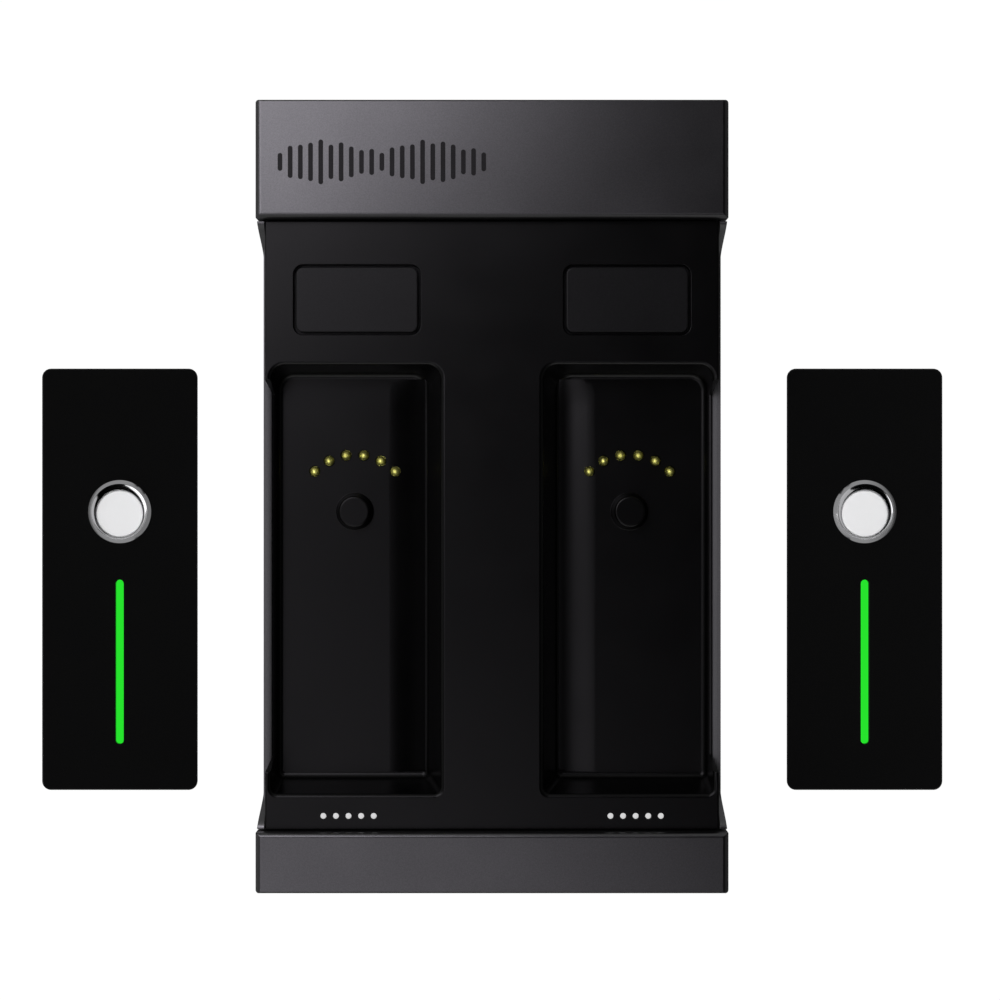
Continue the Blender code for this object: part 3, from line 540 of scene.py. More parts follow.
def soften(obj, width, segments=3, angle=32):
    """Welds a mesh into clean faces, rounds its edges and shades it smoothly."""
    bm = bmesh.new()
    bm.from_mesh(obj.data)
    bmesh.ops.remove_doubles(bm, verts=bm.verts, dist=2e-6)
    bmesh.ops.dissolve_limit(bm, angle_limit=math.radians(0.5), verts=bm.verts, edges=bm.edges)
    bm.to_mesh(obj.data)
    bm.free()
    if width:
        bevel = obj.modifiers.new("soften", "BEVEL")
        bevel.width = width
        bevel.segments = segments
        bevel.limit_method = "ANGLE"
        bevel.angle_limit = math.radians(angle)
        bevel.harden_normals = True
    return shade(obj)


def shade(obj, angle=40):
    """Smooth shading, kept sharp across edges over the angle. Large faces keep their own flat normals."""
    bm = bmesh.new()
    bm.from_mesh(obj.data)
    for face in bm.faces:
        face.smooth = True
    for edge in bm.edges:
        edge.smooth = len(edge.link_faces) != 2 or edge.calc_face_angle() < math.radians(angle)
    bm.to_mesh(obj.data)
    bm.free()
    weighted = obj.modifiers.new("even_normals", "WEIGHTED_NORMAL")
    weighted.keep_sharp = True
    weighted.weight = 100
    return obj


def piece(obj, material, body, *replaced):
    """Gives a finished piece its material and its body, and hides the CAD nodes that it stands for."""
    obj.data.materials.clear()
    obj.data.materials.append(MATERIALS[material])
    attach(obj, body)
    if replaced:
        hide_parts(*replaced)
    return obj


def mix(a, b, share):
    return [p + (q - p) * share for p, q in zip(a, b)]


def ease(t):
    return t * t * (3 - 2 * t)


def side_name(side):
    return "right" if side > 0 else "left"


def mirrored(side, x0, x1):
    return (x0, x1) if side > 0 else (-x1, -x0)


# ---------------- tray
def bay_section(z):
    """The bay's outline at a height between its bed and the deck."""
    return mix(BAY_BED, BAY_MOUTH, (z - BAY_FLOOR) / (TRAY_TOP - BAY_FLOOR))


def bay_ring(side, z, section_z, inset):
    inner, outer, front, back, front_corner, back_corner = bay_section(section_z)
    x0, x1 = mirrored(side, inner + inset, outer - inset)
    radii = [max(corner - inset, LEAST_CORNER) for corner in (front_corner, back_corner)]
    outline = rounded_outline(x0, x1, front + inset, back - inset, radii[0], 10, radii[1])
    return [(x, y, z) for x, y in outline]


def bay_cutter(side):
    """The hollow of a bay, with a fillet round its bed and a round edge at its mouth."""
    rings = []
    for sine, cosine in turns(7, 0, 76):
        z = BAY_FLOOR + BED_FILLET * (1 - cosine)
        rings.append(bay_ring(side, z, z, BED_FILLET * (1 - sine)))
    for sine, cosine in turns(7, 14, 90):
        z = TRAY_TOP - RIM_ROUND * (1 - sine)
        rings.append(bay_ring(side, z, z, -RIM_ROUND * (1 - cosine)))
    rings.append(bay_ring(side, TRAY_TOP + PAST, TRAY_TOP, -RIM_ROUND))
    return loft("bay_cutter", rings)


def trough_cutter(side):
    """The bed's fall towards the dock's centre. The slope steepens as it goes, and fades in from the back."""
    inner, front, back = BAY_BED[0], BAY_BED[2], BAY_BED[3]
    foot = inner + TROUGH_FOOT_ROUND
    edge = CREASE + CREASE_ROUND
    roll = edge - TROUGH_TURN
    run = TROUGH_TURN - foot
    start = back - BED_FILLET
    length = start - front - BED_FILLET
    stations, spread = 16, 1.6
    roll_steps, run_steps = 5, 7
    rings = []
    for i in range(stations + 1):
        y = start - length * (i / stations) ** spread
        share = min(1.0, (start - y) / TROUGH_RAMP)
        slope = TROUGH_SLOPE * share * (2 - share)
        ring = [(edge, BAY_FLOOR + PAST)]
        for k in range(roll_steps + 1):
            along = roll * k / roll_steps
            ring.append((edge - along, BAY_FLOOR + COPLANAR - slope * along * along / (2 * roll)))
        level = ring[-1][1]
        for k in range(1, run_steps + 1):
            along = k / run_steps
            fall = run * (slope * along + (TROUGH_FOOT_SLOPE - slope) * along * along / 2)
            ring.append((TROUGH_TURN - run * along, level - fall))
        level = ring[-1][1]
        for sine, cosine in turns(5)[1:-1]:
            ring.append((foot - TROUGH_FOOT_ROUND * sine, level + TROUGH_FOOT_ROUND * (1 - cosine)))
        ring.append((foot - TROUGH_FOOT_ROUND, BAY_FLOOR + PAST))
        rings.append([(side * x, y, z) for x, z in ring])
    return loft("trough_cutter", rings)


def scoop_cutter(side):
    """Takes the bay's outer wall down, with a rounded ramp at each end."""
    steps = 14
    high = TRAY_TOP + PAST
    rise = TRAY_TOP - SCOOP_LOW
    shares = [i / steps for i in range(steps + 1)]
    back = [(SCOOP_BACK - SCOOP_RAMP * t, SCOOP_LOW + rise * ease(1 - t)) for t in shares]
    front = [(SCOOP_FRONT + SCOOP_RAMP * t, SCOOP_LOW + rise * ease(1 - t)) for t in shares]
    outline = [(SCOOP_BACK, high), *back, *reversed(front), (SCOOP_FRONT, high)]
    x0, x1 = mirrored(side, BAY_BED[1] + 0.0001, SCOOP_OUT)
    return prism("scoop_cutter", outline, x0, x1, "X")


def corner_cutter(side, edge_y, bed_y):
    """Trims the tray slantwise at one end of the scoop, from the deck's edge in to the bay's wall."""
    near, far = SCOOP_CORNER_X
    outline = [(near, edge_y), (far, edge_y), (far, bed_y), (BAY_BED[1], bed_y)]
    return prism("corner_cutter", [(side * x, y) for x, y in outline], SCOOP_LOW, TRAY_TOP + PAST)


def lip_cutter(side):
    """Rounds the low wall of the scoop off towards the bed, so that it carries on the rail's curve."""
    edge_x, low = RAIL_IN - 0.00005, SCOOP_LOW - LIP_ROUND
    inner_x, high = edge_x - 0.0025, SCOOP_LOW + 0.0005
    outline = [(inner_x, low), (inner_x, high), (edge_x, high)]
    outline += [(edge_x - LIP_ROUND * sine, low + LIP_ROUND * cosine) for sine, cosine in turns(8)]
    front, back = SCOOP_FRONT + SCOOP_RAMP - PAST, SCOOP_BACK - SCOOP_RAMP + PAST
    return prism("lip_cutter", [(side * x, z) for x, z in outline], front, back, "Y")


def key_well(side):
    """The hole in the deck for a key, with a small round edge."""
    low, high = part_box(f"deck_key_{side_name(side)}")

    def ring(z, grow):
        inset = KEY_FLANGE - KEY_SLIT - grow
        sides, ends = (low.x + inset, high.x - inset), (low.y + inset, high.y - inset)
        return [(x, y, z) for x, y in rounded_outline(*sides, *ends, WELL_CORNER + grow)]

    rings = [ring(TRAY_TOP - WELL_DEPTH, 0.0)]
    for sine, cosine in turns(4):
        rings.append(ring(TRAY_TOP - WELL_EDGE * (1 - sine), WELL_EDGE * (1 - cosine)))
    rings.append([(x, y, TRAY_TOP + PAST) for x, y, _ in rings[-1]])
    return loft("key_well", rings)


def peg(side):
    """The round peg in the bay, with a soft top edge and a small fillet at its root."""
    top, foot_radius, low = BAY_FLOOR + BOSS_HEIGHT, BOSS_ROOT + BOSS_FILLET, BAY_FLOOR - PAST
    profile = [(0.0, top)]
    profile += reversed(arc(BOSS_TIP - BOSS_EDGE, top - BOSS_EDGE, BOSS_EDGE, 8, 90, 7))
    profile += arc(foot_radius, BAY_FLOOR + BOSS_FILLET, BOSS_FILLET, 188, 270, 7)
    profile += [(foot_radius, low), (0.0, low)]
    return turned("peg", profile, (side * BOSS_X, BOSS_Y, 0))


def pin_places(side):
    """Centres of a bay's contact pins, from their CAD nodes."""
    boxes = [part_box(f"contact_pin_{side_name(side)}_{number}") for number in range(1, PIN_COUNT + 1)]
    return [(low + high) / 2 for low, high in boxes]


def lamp_places(side):
    low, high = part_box(f"light_pipe_{side_name(side)}")
    first = (low.x + high.x) / 2 - LAMP_PITCH * (LAMP_COUNT - 1) / 2
    y = low.y + LAMP_ROW_SETBACK
    return [(first + LAMP_PITCH * i, y) for i in range(LAMP_COUNT)]


def hole_cutter(x, y, low, rim, radius, chamfer):
    """A round hole with a small chamfer where it meets the surface at height rim."""
    high = rim + PAST
    profile = [(0.0, high), (radius + chamfer + PAST, high), (radius, rim - chamfer)]
    profile += [(radius, low), (0.0, low)]
    return turned("hole_cutter", profile, (x, y, 0), 32)


def make_tray():
    half, top_half = TRAY_HIGH.x, TRAY_HIGH.x - TRAY_DRAFT
    ledge = TRAY_TOP - TRAY_LEDGE
    wall = ledge + TRAY_LEDGE_RISE
    outline = [(-top_half, TRAY_TOP), (top_half, TRAY_TOP), (half, ledge), (TUB_HALF, wall)]
    outline += [(TUB_HALF, TRAY_LOW.z), (-TUB_HALF, TRAY_LOW.z), (-TUB_HALF, wall), (-half, ledge)]
    front, back = TRAY_LOW.y + TONGUE_LENGTH, TRAY_HIGH.y - TONGUE_LENGTH
    tray = prism("tray_moulding", outline, front, back, "Y")
    soften(tray, 0.00035, 4)
    apply_modifiers(tray)
    cutters = []
    for side in SIDES.values():
        cutters += [bay_cutter(side), trough_cutter(side), scoop_cutter(side)]
        cutters += [lip_cutter(side), key_well(side)]
        cutters += [corner_cutter(side, edge_y, bed_y) for edge_y, bed_y in SCOOP_CORNERS]
    boolean(tray, cutters)
    half, low, high = TONGUE
    ends = ((front - TONGUE_LENGTH, front + PAST), (back - PAST, back + TONGUE_LENGTH))
    boolean(tray, [block("tongue", (-half, y0, low), (half, y1, high)) for y0, y1 in ends], "UNION")
    boolean(tray, [peg(side) for side in SIDES.values()], "UNION")
    holes = []
    for side in SIDES.values():
        for place in pin_places(side):
            holes.append(hole_cutter(place.x, place.y, PIN_HOLE_LOW, BAY_FLOOR, PIN_HOLE, PIN_HOLE_CHAMFER))
        for x, y in lamp_places(side):
            holes.append(hole_cutter(x, y, LAMP_HOLE_LOW, TRAY_TOP, LAMP_RADIUS + LAMP_SLIT, LAMP_SLIT))
    boolean(tray, holes)
    soften(tray, 0.00022, 3, 48)
    return piece(tray, "black_plastic", "dock", "tray")


# ---------------- the metal covers and the pan
def round_cover(body, deck_y):
    """Rounds a cover's edges: most along its sides, less by the deck and least at its far end."""
    bm = bmesh.new()
    bm.from_mesh(body.data)
    weights = bm.edges.layers.float.new("bevel_weight_edge")
    for edge in bm.edges:
        along = edge.verts[1].co - edge.verts[0].co
        by_deck = abs(edge.verts[0].co.y - deck_y) < 1e-6
        if abs(along.y) > 1e-6:
            edge[weights] = 1.0
        elif abs(along.z) > 1e-6:
            edge[weights] = DECK_CORNER_SHARE if by_deck else UPRIGHT_EDGE_SHARE
        else:
            edge[weights] = DECK_EDGE_SHARE if by_deck else END_EDGE_SHARE
    bm.to_mesh(body.data)
    bm.free()
    bevel = body.modifiers.new("rounding", "BEVEL")
    bevel.width = SIDE_ROUND
    bevel.segments = 8
    bevel.limit_method = "WEIGHT"
    apply_modifiers(body)


def cover(name, low, high, deck_y, opening_y, passage_y):
    """A folded cover with softly rounded edges, open below and, through a passage, towards the tray."""
    body = block(name, low, high)
    round_cover(body, deck_y)
    inside = high.x - SHEET
    hollow = block("hollow", (-inside, opening_y[0], -CLEAR_OFF), (inside, opening_y[1], high.z - SHEET))
    passage = block("passage", (-inside, passage_y[0], -CLEAR_OFF), (inside, passage_y[1], PASSAGE))
    boolean(body, [hollow, passage])
    soften(body, 0.00012, 2, 50)
    return piece(body, "graphite_metal", "dock", name)


def make_covers():
    opening = (HEAD_LOW.y + SHEET, HEAD_HIGH.y + CLEAR_OFF)
    passage = (HEAD_LOW.y - CLEAR_OFF, HEAD_LOW.y + CLEAR_OFF)
    cover("head_cover", HEAD_LOW, HEAD_HIGH, HEAD_LOW.y, opening, passage)
    opening = (FOOT_LOW.y + SHEET, FOOT_HIGH.y - SHEET)
    passage = (FOOT_HIGH.y - FOOT_PASSAGE, FOOT_HIGH.y + CLEAR_OFF)
    cover("foot_cover", FOOT_LOW, FOOT_HIGH, FOOT_HIGH.y, opening, passage)


def make_pan():
    """The pan with its two upturned rails, whose ends flare up and out to the covers."""
    base = PAN_LOW.z
    plate_top = base + PAN_PLATE
    pan = block("chassis_pan", (-PAN_HALF, PAN_LOW.y, base), (PAN_HALF, PAN_HIGH.y, plate_top))
    front, back = FOOT_HIGH.y + GAP, HEAD_LOW.y - GAP
    steps = 24
    stations = [(back - FLARE_LENGTH * i / steps, 1 - i / steps) for i in range(steps + 1)]
    stations += [(front + FLARE_LENGTH * (1 - i / steps), i / steps) for i in range(steps + 1)]
    rails = []
    for side in SIDES.values():
        rings = []
        for y, rise in stations:
            out = RAIL_OUT + (HEAD_HIGH.x - RAIL_OUT) * rise
            top = RAIL_TOP + (TRAY_TOP - RAIL_TOP) * ease(rise)
            section = [(RAIL_IN, base), (out, base), (out, top), (FLARE_IN, top)]
            for sine, cosine in turns(8):
                section.append((RAIL_IN + RAIL_ROUND * (1 - sine), RAIL_TOP - RAIL_ROUND * (1 - cosine)))
            rings.append([(side * x, y, z) for x, z in section])
        rails.append(loft("rail", rings))
    boolean(pan, rails, "UNION")
    above, below = base + SINK_REACH, base - PAST
    profile = [(0.0, above), (SINK_HOLE, above), (SINK_HOLE, plate_top - 0.0001)]
    profile += [(SINK_MOUTH, base), (SINK_MOUTH, below), (0.0, below)]
    sinks = []
    for number in range(1, FITTINGS + 1):
        low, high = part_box(f"case_screw_{number}")
        sinks.append(turned("sink", profile, ((low.x + high.x) / 2, (low.y + high.y) / 2, 0), 40))
    boolean(pan, sinks)
    soften(pan, 0.00012, 2, 50)
    piece(pan, "edged_graphite", "dock", "chassis_pan")


def make_mark():
    """A plain row of upright bars, like a level display, in place of the lettering."""
    pitch = (MARK_RIGHT - MARK_LEFT) / MARK_BARS
    half_width = pitch * MARK_BAR_SHARE / 2
    bm = bmesh.new()
    for i in range(MARK_BARS):
        x = MARK_LEFT + pitch * (i + 0.5)
        swell = 0.5 + 0.5 * math.sin(TAU * i / MARK_BARS * 2 - 0.9)
        half = MARK_HEIGHT / 2 * (0.35 + 0.65 * (0.65 * swell + 0.35 * abs(math.sin(i * 1.9))))
        ends = (MARK_MIDDLE_Y - half, MARK_MIDDLE_Y + half)
        outline = rounded_outline(x - half_width, x + half_width, *ends, half_width * BAR_ROUND_SHARE, 6)
        bottom = [bm.verts.new((u, v, HEAD_HIGH.z - MARK_SUNK)) for u, v in outline]
        top = [bm.verts.new((u, v, HEAD_HIGH.z + MARK_PROUD)) for u, v in outline]
        for j in range(len(outline)):
            k = (j + 1) % len(outline)
            bm.faces.new((bottom[j], bottom[k], top[k], top[j]))
        bm.faces.new(bottom[::-1])
        bm.faces.new(top)
    mark = new_mesh_object("level_mark", bm)
    return piece(mark, "mark_ink", "dock")


# ---------------- keys, pins and lamps
def make_key(side):
    """A flat key cap with rounded edges, its retaining flange and its stem."""
    name = f"deck_key_{side_name(side)}"
    low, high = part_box(name)
    shoulder = TRAY_TOP - DECK_THICKNESS

    def ring(z, inset):
        sides, ends = (low.x + inset, high.x - inset), (low.y + inset, high.y - inset)
        corner = KEY_CORNER - max(0.0, inset - KEY_FLANGE)
        return [(x, y, z) for x, y in rounded_outline(*sides, *ends, corner)]

    rings = [ring(shoulder - KEY_FLANGE, 0.0), ring(shoulder, 0.0), ring(shoulder, KEY_FLANGE)]
    for sine, cosine in turns(6):
        rings.append(ring(high.z - KEY_EDGE * (1 - sine), KEY_FLANGE + KEY_EDGE * (1 - cosine)))
    cap = loft(name + "_cap", rings)
    middle = (low + high) / 2
    stem = rod("stem", KEY_STEM, low.z, shoulder - KEY_FLANGE / 2, (middle.x, middle.y, 0), 32)
    boolean(cap, [stem], "UNION")
    shade(cap)
    return piece(cap, "key_black", name, name)


def make_pins(side):
    """The domed plungers, each with the flange that keeps it in its barrel."""
    for number, place in enumerate(pin_places(side), start=1):
        name = f"contact_pin_{side_name(side)}_{number}"
        low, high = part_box(name)
        profile = list(reversed(arc(0, high.z - PIN_RADIUS, PIN_RADIUS, 0, 90, 10)))
        profile[0] = (0.0, high.z)
        profile += [(PIN_RADIUS, PIN_NECK), (PIN_FLANGE, PIN_NECK), (PIN_FLANGE, low.z), (0.0, low.z)]
        pin = turned(name + "_plunger", profile, (place.x, place.y, 0), 40)
        piece(shade(pin), "gold", name, name)


def make_light_pipe(side):
    """Five frosted rods with domed ends, moulded on one bar."""
    name = f"light_pipe_{side_name(side)}"
    low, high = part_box(name)
    bar = block(name + "_rods", (low.x, low.y, LAMP_BAR_LOW), (high.x, high.y, TRAY_TOP - DECK_THICKNESS))
    soften(bar, 0.0002, 2)
    apply_modifiers(bar)
    dome = ((0.0, 1.0), (0.5, 0.75), (0.85, 0.28), (1.0, -0.5))
    profile = [(LAMP_RADIUS * share, TRAY_TOP + LAMP_CROWN * rise) for share, rise in dome]
    profile += [(LAMP_RADIUS, low.z), (0.0, low.z)]
    boolean(bar, [turned("rod", profile, (x, y, 0), 32) for x, y in lamp_places(side)], "UNION")
    return piece(shade(bar), "lamp_white", "dock", name)


# ---------------- transmitters
def tx_section(height, inset):
    """Half width, half length and corner radius of a transmitter at a height, drawn in by an inset."""
    half_x, half_y, corner = mix(TX_FOOT_SIZE, TX_TOP_SIZE, height / TX_HEIGHT)
    return half_x - inset, half_y - inset, max(corner - inset, LEAST_CORNER)


def tx_ring(centre, z, section_z, inset):
    half_x, half_y, corner = tx_section(section_z, inset)
    sides, ends = (centre.x - half_x, centre.x + half_x), (centre.y - half_y, centre.y + half_y)
    return [(x, y, z) for x, y in rounded_outline(*sides, *ends, corner)]


def rounded_rings(centre, low, high, edge_low, edge_high):
    """Rings up the transmitter's side, with a rounded lower edge and a rounded upper edge."""
    rings = []
    for sine, cosine in turns(6):
        z = low + edge_low * (1 - cosine)
        rings.append(tx_ring(centre, z, z, edge_low * (1 - sine)))
    for sine, cosine in turns(6):
        z = high - edge_high * (1 - sine)
        rings.append(tx_ring(centre, z, z, edge_high * (1 - cosine)))
    return rings


def bar_outline(node, centre, grow):
    """The light bar's long lozenge, grown by an even margin."""
    low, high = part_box(node)
    half = BAR_HALF + grow
    ends = (low.y + BAR_END - grow, high.y - BAR_END + grow)
    return rounded_outline(centre.x - half, centre.x + half, *ends, half * BAR_ROUND_SHARE, 10)


def tx_shell(name, centre, axis_y):
    """The upper cover, hollow below, with a seat for the button's ring and a slot for the light bar."""
    shell = loft(name + "_upper", rounded_rings(centre, TX_SPLIT + 0.0002, TX_HEIGHT, 0.0001, TX_EDGE))
    roof = TX_HEIGHT - TX_WALL
    rings = [tx_ring(centre, TX_SPLIT - PAST, TX_SPLIT, TX_WALL), tx_ring(centre, roof, roof, TX_WALL)]
    hollow = loft("hollow", rings)
    above, below = TX_HEIGHT + PAST, TX_HEIGHT - 2 * TX_WALL
    seat = rod("seat", BEZEL_SEAT, below, above, (centre.x, axis_y, 0), 72)
    slot = prism("slot", bar_outline(f"{name}_light_bar", centre, BAR_SLIT), below, above)
    boolean(shell, [hollow, seat, slot])
    shade(shell)
    return piece(shell, "transmitter_black", name, f"{name}_shell")


def tx_base(name, centre, axis_y):
    """The lower cover: the spindle socket, its collar inside, and six contact windows."""
    base = loft(name + "_lower", rounded_rings(centre, 0.0, TX_SPLIT, 0.0003, 0.0001))
    collar = rod("collar", SOCKET_RADIUS + 0.001, 0.001, SOCKET_DEPTH + 0.001, (centre.x, axis_y, 0), 64)
    boolean(base, [collar], "UNION")
    mouth = 0.0004
    profile = [(0.0, SOCKET_DEPTH), (SOCKET_RADIUS, SOCKET_DEPTH), (SOCKET_RADIUS, mouth)]
    profile += [(SOCKET_RADIUS + mouth, 0.0), (SOCKET_RADIUS + mouth, -PAST), (0.0, -PAST)]
    windows = [turned("socket", profile, (centre.x, axis_y, 0), 64)]
    radius, chamfer = PAD_WINDOW
    profile = [(0.0, 2 * TX_SPLIT), (radius, 2 * TX_SPLIT), (radius, chamfer)]
    profile += [(radius + chamfer, 0.0), (radius + chamfer, -PAST), (0.0, -PAST)]
    for angle in PAD_ANGLES:
        x = centre.x + PAD_CIRCLE * math.cos(math.radians(angle))
        y = axis_y + PAD_CIRCLE * math.sin(math.radians(angle))
        windows.append(turned("window", profile, (x, y, 0), 32))
    boolean(base, windows)
    shade(base)
    return piece(base, "transmitter_black", name, f"{name}_base")


def tx_bezel(name, centre, axis_y):
    """The chrome ring: a conical outer slope, a narrow crest, and a dished inner slope down to the button."""
    outer, crest, bore, neck = 0.00618, 0.00540, 0.00475, 0.00545
    face, top, low = TX_HEIGHT + 0.00002, TX_HEIGHT + 0.00060, TX_HEIGHT - 0.0014
    width = crest - bore
    dish = top - width * (DISH_START + DISH_RISE)
    profile = [(bore, low), (bore, dish)]
    steps = 12
    for i in range(1, steps + 1):
        t = i / steps
        profile.append((bore + width * t, dish + width * (DISH_START * t + DISH_RISE * t * t)))
    profile += [(crest + 0.00004, top + 0.00001), (crest + 0.00009, top - 0.00003)]
    profile += [(outer - 0.00004, face + 0.00004), (outer, face), (neck, face), (neck, low)]
    bezel = turned(name + "_ring", profile, (0, 0, 0), 128, closed=True)
    for vertex in bezel.data.vertices:
        radius = math.hypot(vertex.co.x, vertex.co.y)
        vertex.co.y -= BUTTON_SHIFT * min(1.0, max(0.0, (crest - radius) / width))
    bezel.data.transform(Matrix.Translation((centre.x, axis_y, 0)))
    return piece(shade(bezel, 50), "chrome", name, f"{name}_bezel")


def tx_button(name, centre, axis_y):
    """The flat round button, with a soft edge and a flange that stays under its ring."""
    node = f"{name}_button"
    low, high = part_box(node)
    radius, edge, flange = 0.0046, 0.0003, 0.0052
    shoulder = low.z + 0.00035
    profile = [(0.0, high.z), (radius * 0.6, high.z)]
    profile += reversed(arc(radius - edge, high.z - edge, edge, 0, 90, 6))
    profile += [(radius, shoulder), (flange, shoulder), (flange, low.z), (0.0, low.z)]
    button = turned(node + "_cap", profile, (centre.x, axis_y - BUTTON_SHIFT, 0), 96)
    return piece(shade(button), "button_silver", node, node)


def tx_light_bar(name, centre):
    """The lit bar: a long lozenge with a gently crowned face."""
    node = f"{name}_light_bar"
    low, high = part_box(node)
    seat_top = high.z - 0.0016
    rings = [[(x, y, seat_top) for x, y in bar_outline(node, centre, 0.0)]]
    for sine, cosine in turns(5, 0, 80):
        z = high.z - BAR_CROWN * (1 - sine)
        outline = bar_outline(node, centre, -BAR_HALF * 0.85 * (1 - cosine))
        rings.append([(x, y, z) for x, y in outline])
    bar = loft(node + "_lens", rings)
    foot = block("foot", (low.x, low.y, low.z), (high.x, high.y, seat_top + 0.0001))
    boolean(bar, [foot], "UNION")
    return piece(shade(bar, 50), "lamp_green", name, node)


def make_transmitter(side):
    name = f"transmitter_{side_name(side)}"
    low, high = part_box(f"{name}_shell")
    centre = (low + high) / 2
    ring_low, ring_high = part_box(f"{name}_bezel")
    axis_y = (ring_low.y + ring_high.y) / 2
    tx_shell(name, centre, axis_y)
    tx_base(name, centre, axis_y)
    tx_bezel(name, centre, axis_y)
    tx_button(name, centre, axis_y)
    tx_light_bar(name, centre)


# ---------------- rear connectors, screws and feet
def make_jack(number):
    """A phono jack: plated flange and barrel, with a coloured insulator round the bore for the plug's pin."""
    name = f"phono_jack_{number}"
    low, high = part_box(name)
    x, z = (low.x + high.x) / 2, (low.z + high.z) / 2
    panel_low, panel_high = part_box("rear_panel")
    face, mouth, behind = panel_high.y + JACK_GAP, high.y, panel_low.y - JACK_GAP
    bore, barrel, lip, flange, thread, nut = 0.0034, 0.00415, 0.0002, 0.0052, 0.0043, 0.0055
    flange_top, floor = face + 0.0011, face + 0.001
    profile = [(0.0, floor), (bore, floor), (bore, mouth - lip), (bore + lip, mouth), (barrel - lip, mouth)]
    profile.append((barrel, mouth - lip))
    for groove in range(2):
        y = face + 0.0035 - 0.0012 * groove
        profile += [(barrel, y + lip), (barrel - lip, y), (barrel, y - lip)]
    profile += [(barrel, flange_top), (flange - JACK_GAP, flange_top), (flange, flange_top - JACK_GAP)]
    profile += [(flange, face), (thread, face), (thread, behind), (nut, behind), (nut, low.y), (0.0, low.y)]
    jack = turned(name + "_barrel", profile, (0, 0, 0), 64, "Y")
    jack.data.transform(Matrix.Translation((x, 0, z)))
    piece(shade(jack, 30), "gold", "dock", name)
    inner, outer, front, start = 0.0016, 0.0033, mouth - 0.0006, face + 0.0006
    core = [(0.0, start + lip), (inner, start + lip), (inner, front - lip), (inner + lip, front)]
    core += [(outer - lip, front), (outer, front - lip), (outer, start), (0.0, start)]
    insulator = turned(f"{name}_insulator", core, (0, 0, 0), 48, "Y")
    insulator.data.transform(Matrix.Translation((x, 0, z)))
    piece(shade(insulator, 30), "insulator_red" if number % 2 else "insulator_white", "dock")


def make_screw(number):
    """A countersunk screw with a cross recess in its head."""
    name = f"case_screw_{number}"
    low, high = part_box(name)
    x, y = (low.x + high.x) / 2, (low.y + high.y) / 2
    shank, head, edge = 0.0012, 0.00255, 0.0001
    neck = PAN_LOW.z + 0.0013
    profile = [(0.0, high.z), (0.0009, high.z), (shank, high.z - 0.0006), (shank, neck)]
    profile += [(head, low.z + edge), (head - edge, low.z), (0.0, low.z)]
    screw = turned(name + "_body", profile, (x, y, 0), 40)
    slots = []
    for long_x, long_y in ((0.0014, 0.0003), (0.0003, 0.0014)):
        corners = (x - long_x, y - long_y, low.z - PAST), (x + long_x, y + long_y, low.z + 0.0009)
        slots.append(block("slot", *corners))
    boolean(screw, slots)
    piece(shade(screw, 30), "steel", "dock", name)


def make_foot(place):
    """A round foot with a soft lower edge and a shallow hollow in the middle."""
    name = f"rubber_foot_{place}"
    low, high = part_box(name)
    x, y = (low.x + high.x) / 2, (low.y + high.y) / 2
    radius = (high.x - low.x) / 2
    profile = [(0.0, high.z), (radius, high.z)]
    profile += arc(radius - FOOT_EDGE, FOOT_EDGE, FOOT_EDGE, 0, -90, 4)
    profile += [(0.0028, 0.0), (0.0026, 0.0002), (0.0, 0.0002)]
    foot = turned(name + "_pad", profile, (x, y, 0), 64)
    piece(shade(foot, 30), "rubber", "dock", name)


# ---------------- dress the CAD nodes that stay
def dress_nodes():
    """Gives each CAD node the material of its slot. The ones with a finer piece are hidden by it."""
    for name, node in NODES.items():
        node.data.materials.clear()
        node.data.materials.append(MATERIALS[SLOT_OF[name]])


# ---------------- stage
def make_stage():
    """A glowing white floor, which the metal's edges don't mirror."""
    floor = block("floor", (-FLOOR_HALF, -FLOOR_HALF, -0.02), (FLOOR_HALF, FLOOR_HALF, 0))
    material, tree, shader = new_material("paper_white", (0.86, 0.86, 0.86), 0.9)
    tree.links.new(ranged(tree, noise(tree, 300, 3), 0.85, 0.95), shader.inputs["Roughness"])
    shader.inputs["Specular IOR Level"].default_value = 0.1
    shader.inputs["Emission Color"].default_value = (1, 1, 1, 1)
    shader.inputs["Emission Strength"].default_value = FLOOR_GLOW
    floor.data.materials.append(material)
    floor.visible_glossy = False


def area_light(name, place, target, width, length, power, only=None, tint=(1, 1, 1)):
    """A soft rectangular light. With only, it lights just that collection."""
    light = bpy.data.lights.new(name, "AREA")
    light.color = tint
    light.shape = "RECTANGLE"
    light.energy = power
    light.size = width
    light.size_y = length
    obj = bpy.data.objects.new(name, light)
    bpy.context.scene.collection.objects.link(obj)
    obj.location = place
    obj.rotation_euler = (Vector(target) - Vector(place)).to_track_quat("-Z", "Y").to_euler()
    obj.visible_camera = False
    if only:
        obj.light_linking.receiver_collection = only
    return obj


def make_world():
    """A dim studio, dimmer still to the right, so that the round metal edges read dark on the pale floor."""
    world = bpy.data.worlds.new("studio")
    world.use_nodes = True
    tree = world.node_tree
    background = tree.nodes["Background"]
    direction = tree.nodes.new("ShaderNodeSeparateXYZ")
    tree.links.new(tree.nodes.new("ShaderNodeTexCoord").outputs["Generated"], direction.inputs["Vector"])
    levels = [(0.0, WALL_LIGHT), (WALL_FADE[0], WALL_LIGHT), (WALL_FADE[1], 0.0)]
    tree.links.new(grey_ramp(tree, direction.outputs["Z"], levels), background.inputs["Color"])
    across = ranged(tree, direction.outputs["X"], 0.0, 1.0, -1.0, 1.0)
    dimmed = grey_ramp(tree, across, [(DIM_FADE[0], 1.0), (DIM_FADE[1], DIM_SIDE)])
    tree.links.new(dimmed, background.inputs["Strength"])
    bpy.context.scene.world = world


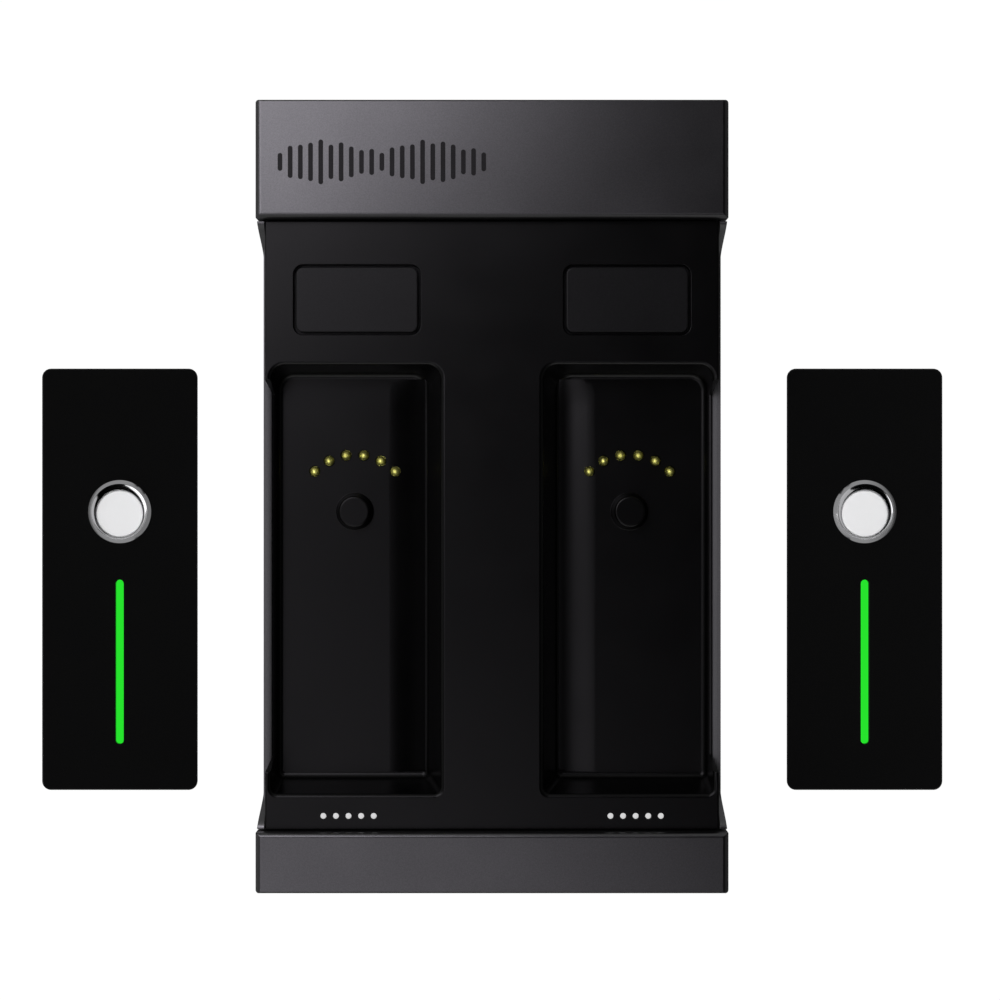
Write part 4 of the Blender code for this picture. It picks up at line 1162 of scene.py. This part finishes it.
def panel(only, start, end, low, high, glow):
    """An upright light a metre away, between two compass angles and two heights."""
    middle, half = math.radians((start + end) / 2), math.radians((end - start) / 2)
    width, height, z = 2 * math.tan(half), high - low, (low + high) / 2
    place = (math.cos(middle), math.sin(middle), z)
    area_light("panel", place, (0, 0, z), width, height, glow * math.pi * width * height, only)


def lit_group(name, chosen):
    """A collection of the objects that a light is kept to."""
    group = bpy.data.collections.new(name)
    for obj in bpy.context.scene.objects:
        if chosen(obj):
            group.objects.link(obj)
    return group


def make_lights():
    """Two soft boxes shade the dock from left to right, as in the photograph. The rest light some pieces."""
    dock_bodies = ("dock", "deck_key", "contact_pin")
    dock_group = lit_group("dock_group", lambda obj: obj.get("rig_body", "").startswith(dock_bodies))
    area_light("left_box", *LEFT_BOX, dock_group, KEY_TINT)
    area_light("front_box", *FRONT_BOX, dock_group, KEY_TINT)
    tray_group = lit_group("tray_group", lambda obj: obj.name.startswith("tray"))
    strip = area_light("bay_strip", *BAY_STRIP, tray_group)
    strip.visible_diffuse = False
    transmitters = lit_group("transmitters", lambda obj: obj.get("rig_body", "").startswith("transmitter"))
    ring_group = lit_group("ring_group", lambda obj: obj.name.endswith("_ring"))
    for sizes in LOW_PANELS:
        panel(transmitters, *sizes)
    for sizes in HIGH_PANELS:
        panel(ring_group, *sizes)
    area_light("ring_glint", *RING_GLINT, ring_group)
    button_group = lit_group("button_group", lambda obj: obj.name.endswith("_button_cap"))
    area_light("button_top", *BUTTON_TOP, button_group)
    pin_group = lit_group("pin_group", lambda obj: obj.name.endswith("_plunger"))
    area_light("pin_top", *PIN_TOP, pin_group)


def make_camera():
    data = bpy.data.cameras.new("camera")
    data.lens = LENS
    data.sensor_width = SENSOR
    data.clip_start, data.clip_end = CLIP
    camera = bpy.data.objects.new("camera", data)
    camera.location = (*CAMERA_OFFSET, CAMERA_HEIGHT)
    bpy.context.scene.collection.objects.link(camera)
    bpy.context.scene.camera = camera


make_camera()
make_stage()
make_world()
bpy.context.scene.view_settings.view_transform = "Standard"
dress_nodes()
make_tray()
make_covers()
make_pan()
make_mark()
for way in SIDES.values():
    make_key(way)
    make_pins(way)
    make_light_pipe(way)
    make_transmitter(way)
for which in range(1, FITTINGS + 1):
    make_jack(which)
    make_screw(which)
for corner_name in ("back_left", "back_right", "front_left", "front_right"):
    make_foot(corner_name)
make_lights()
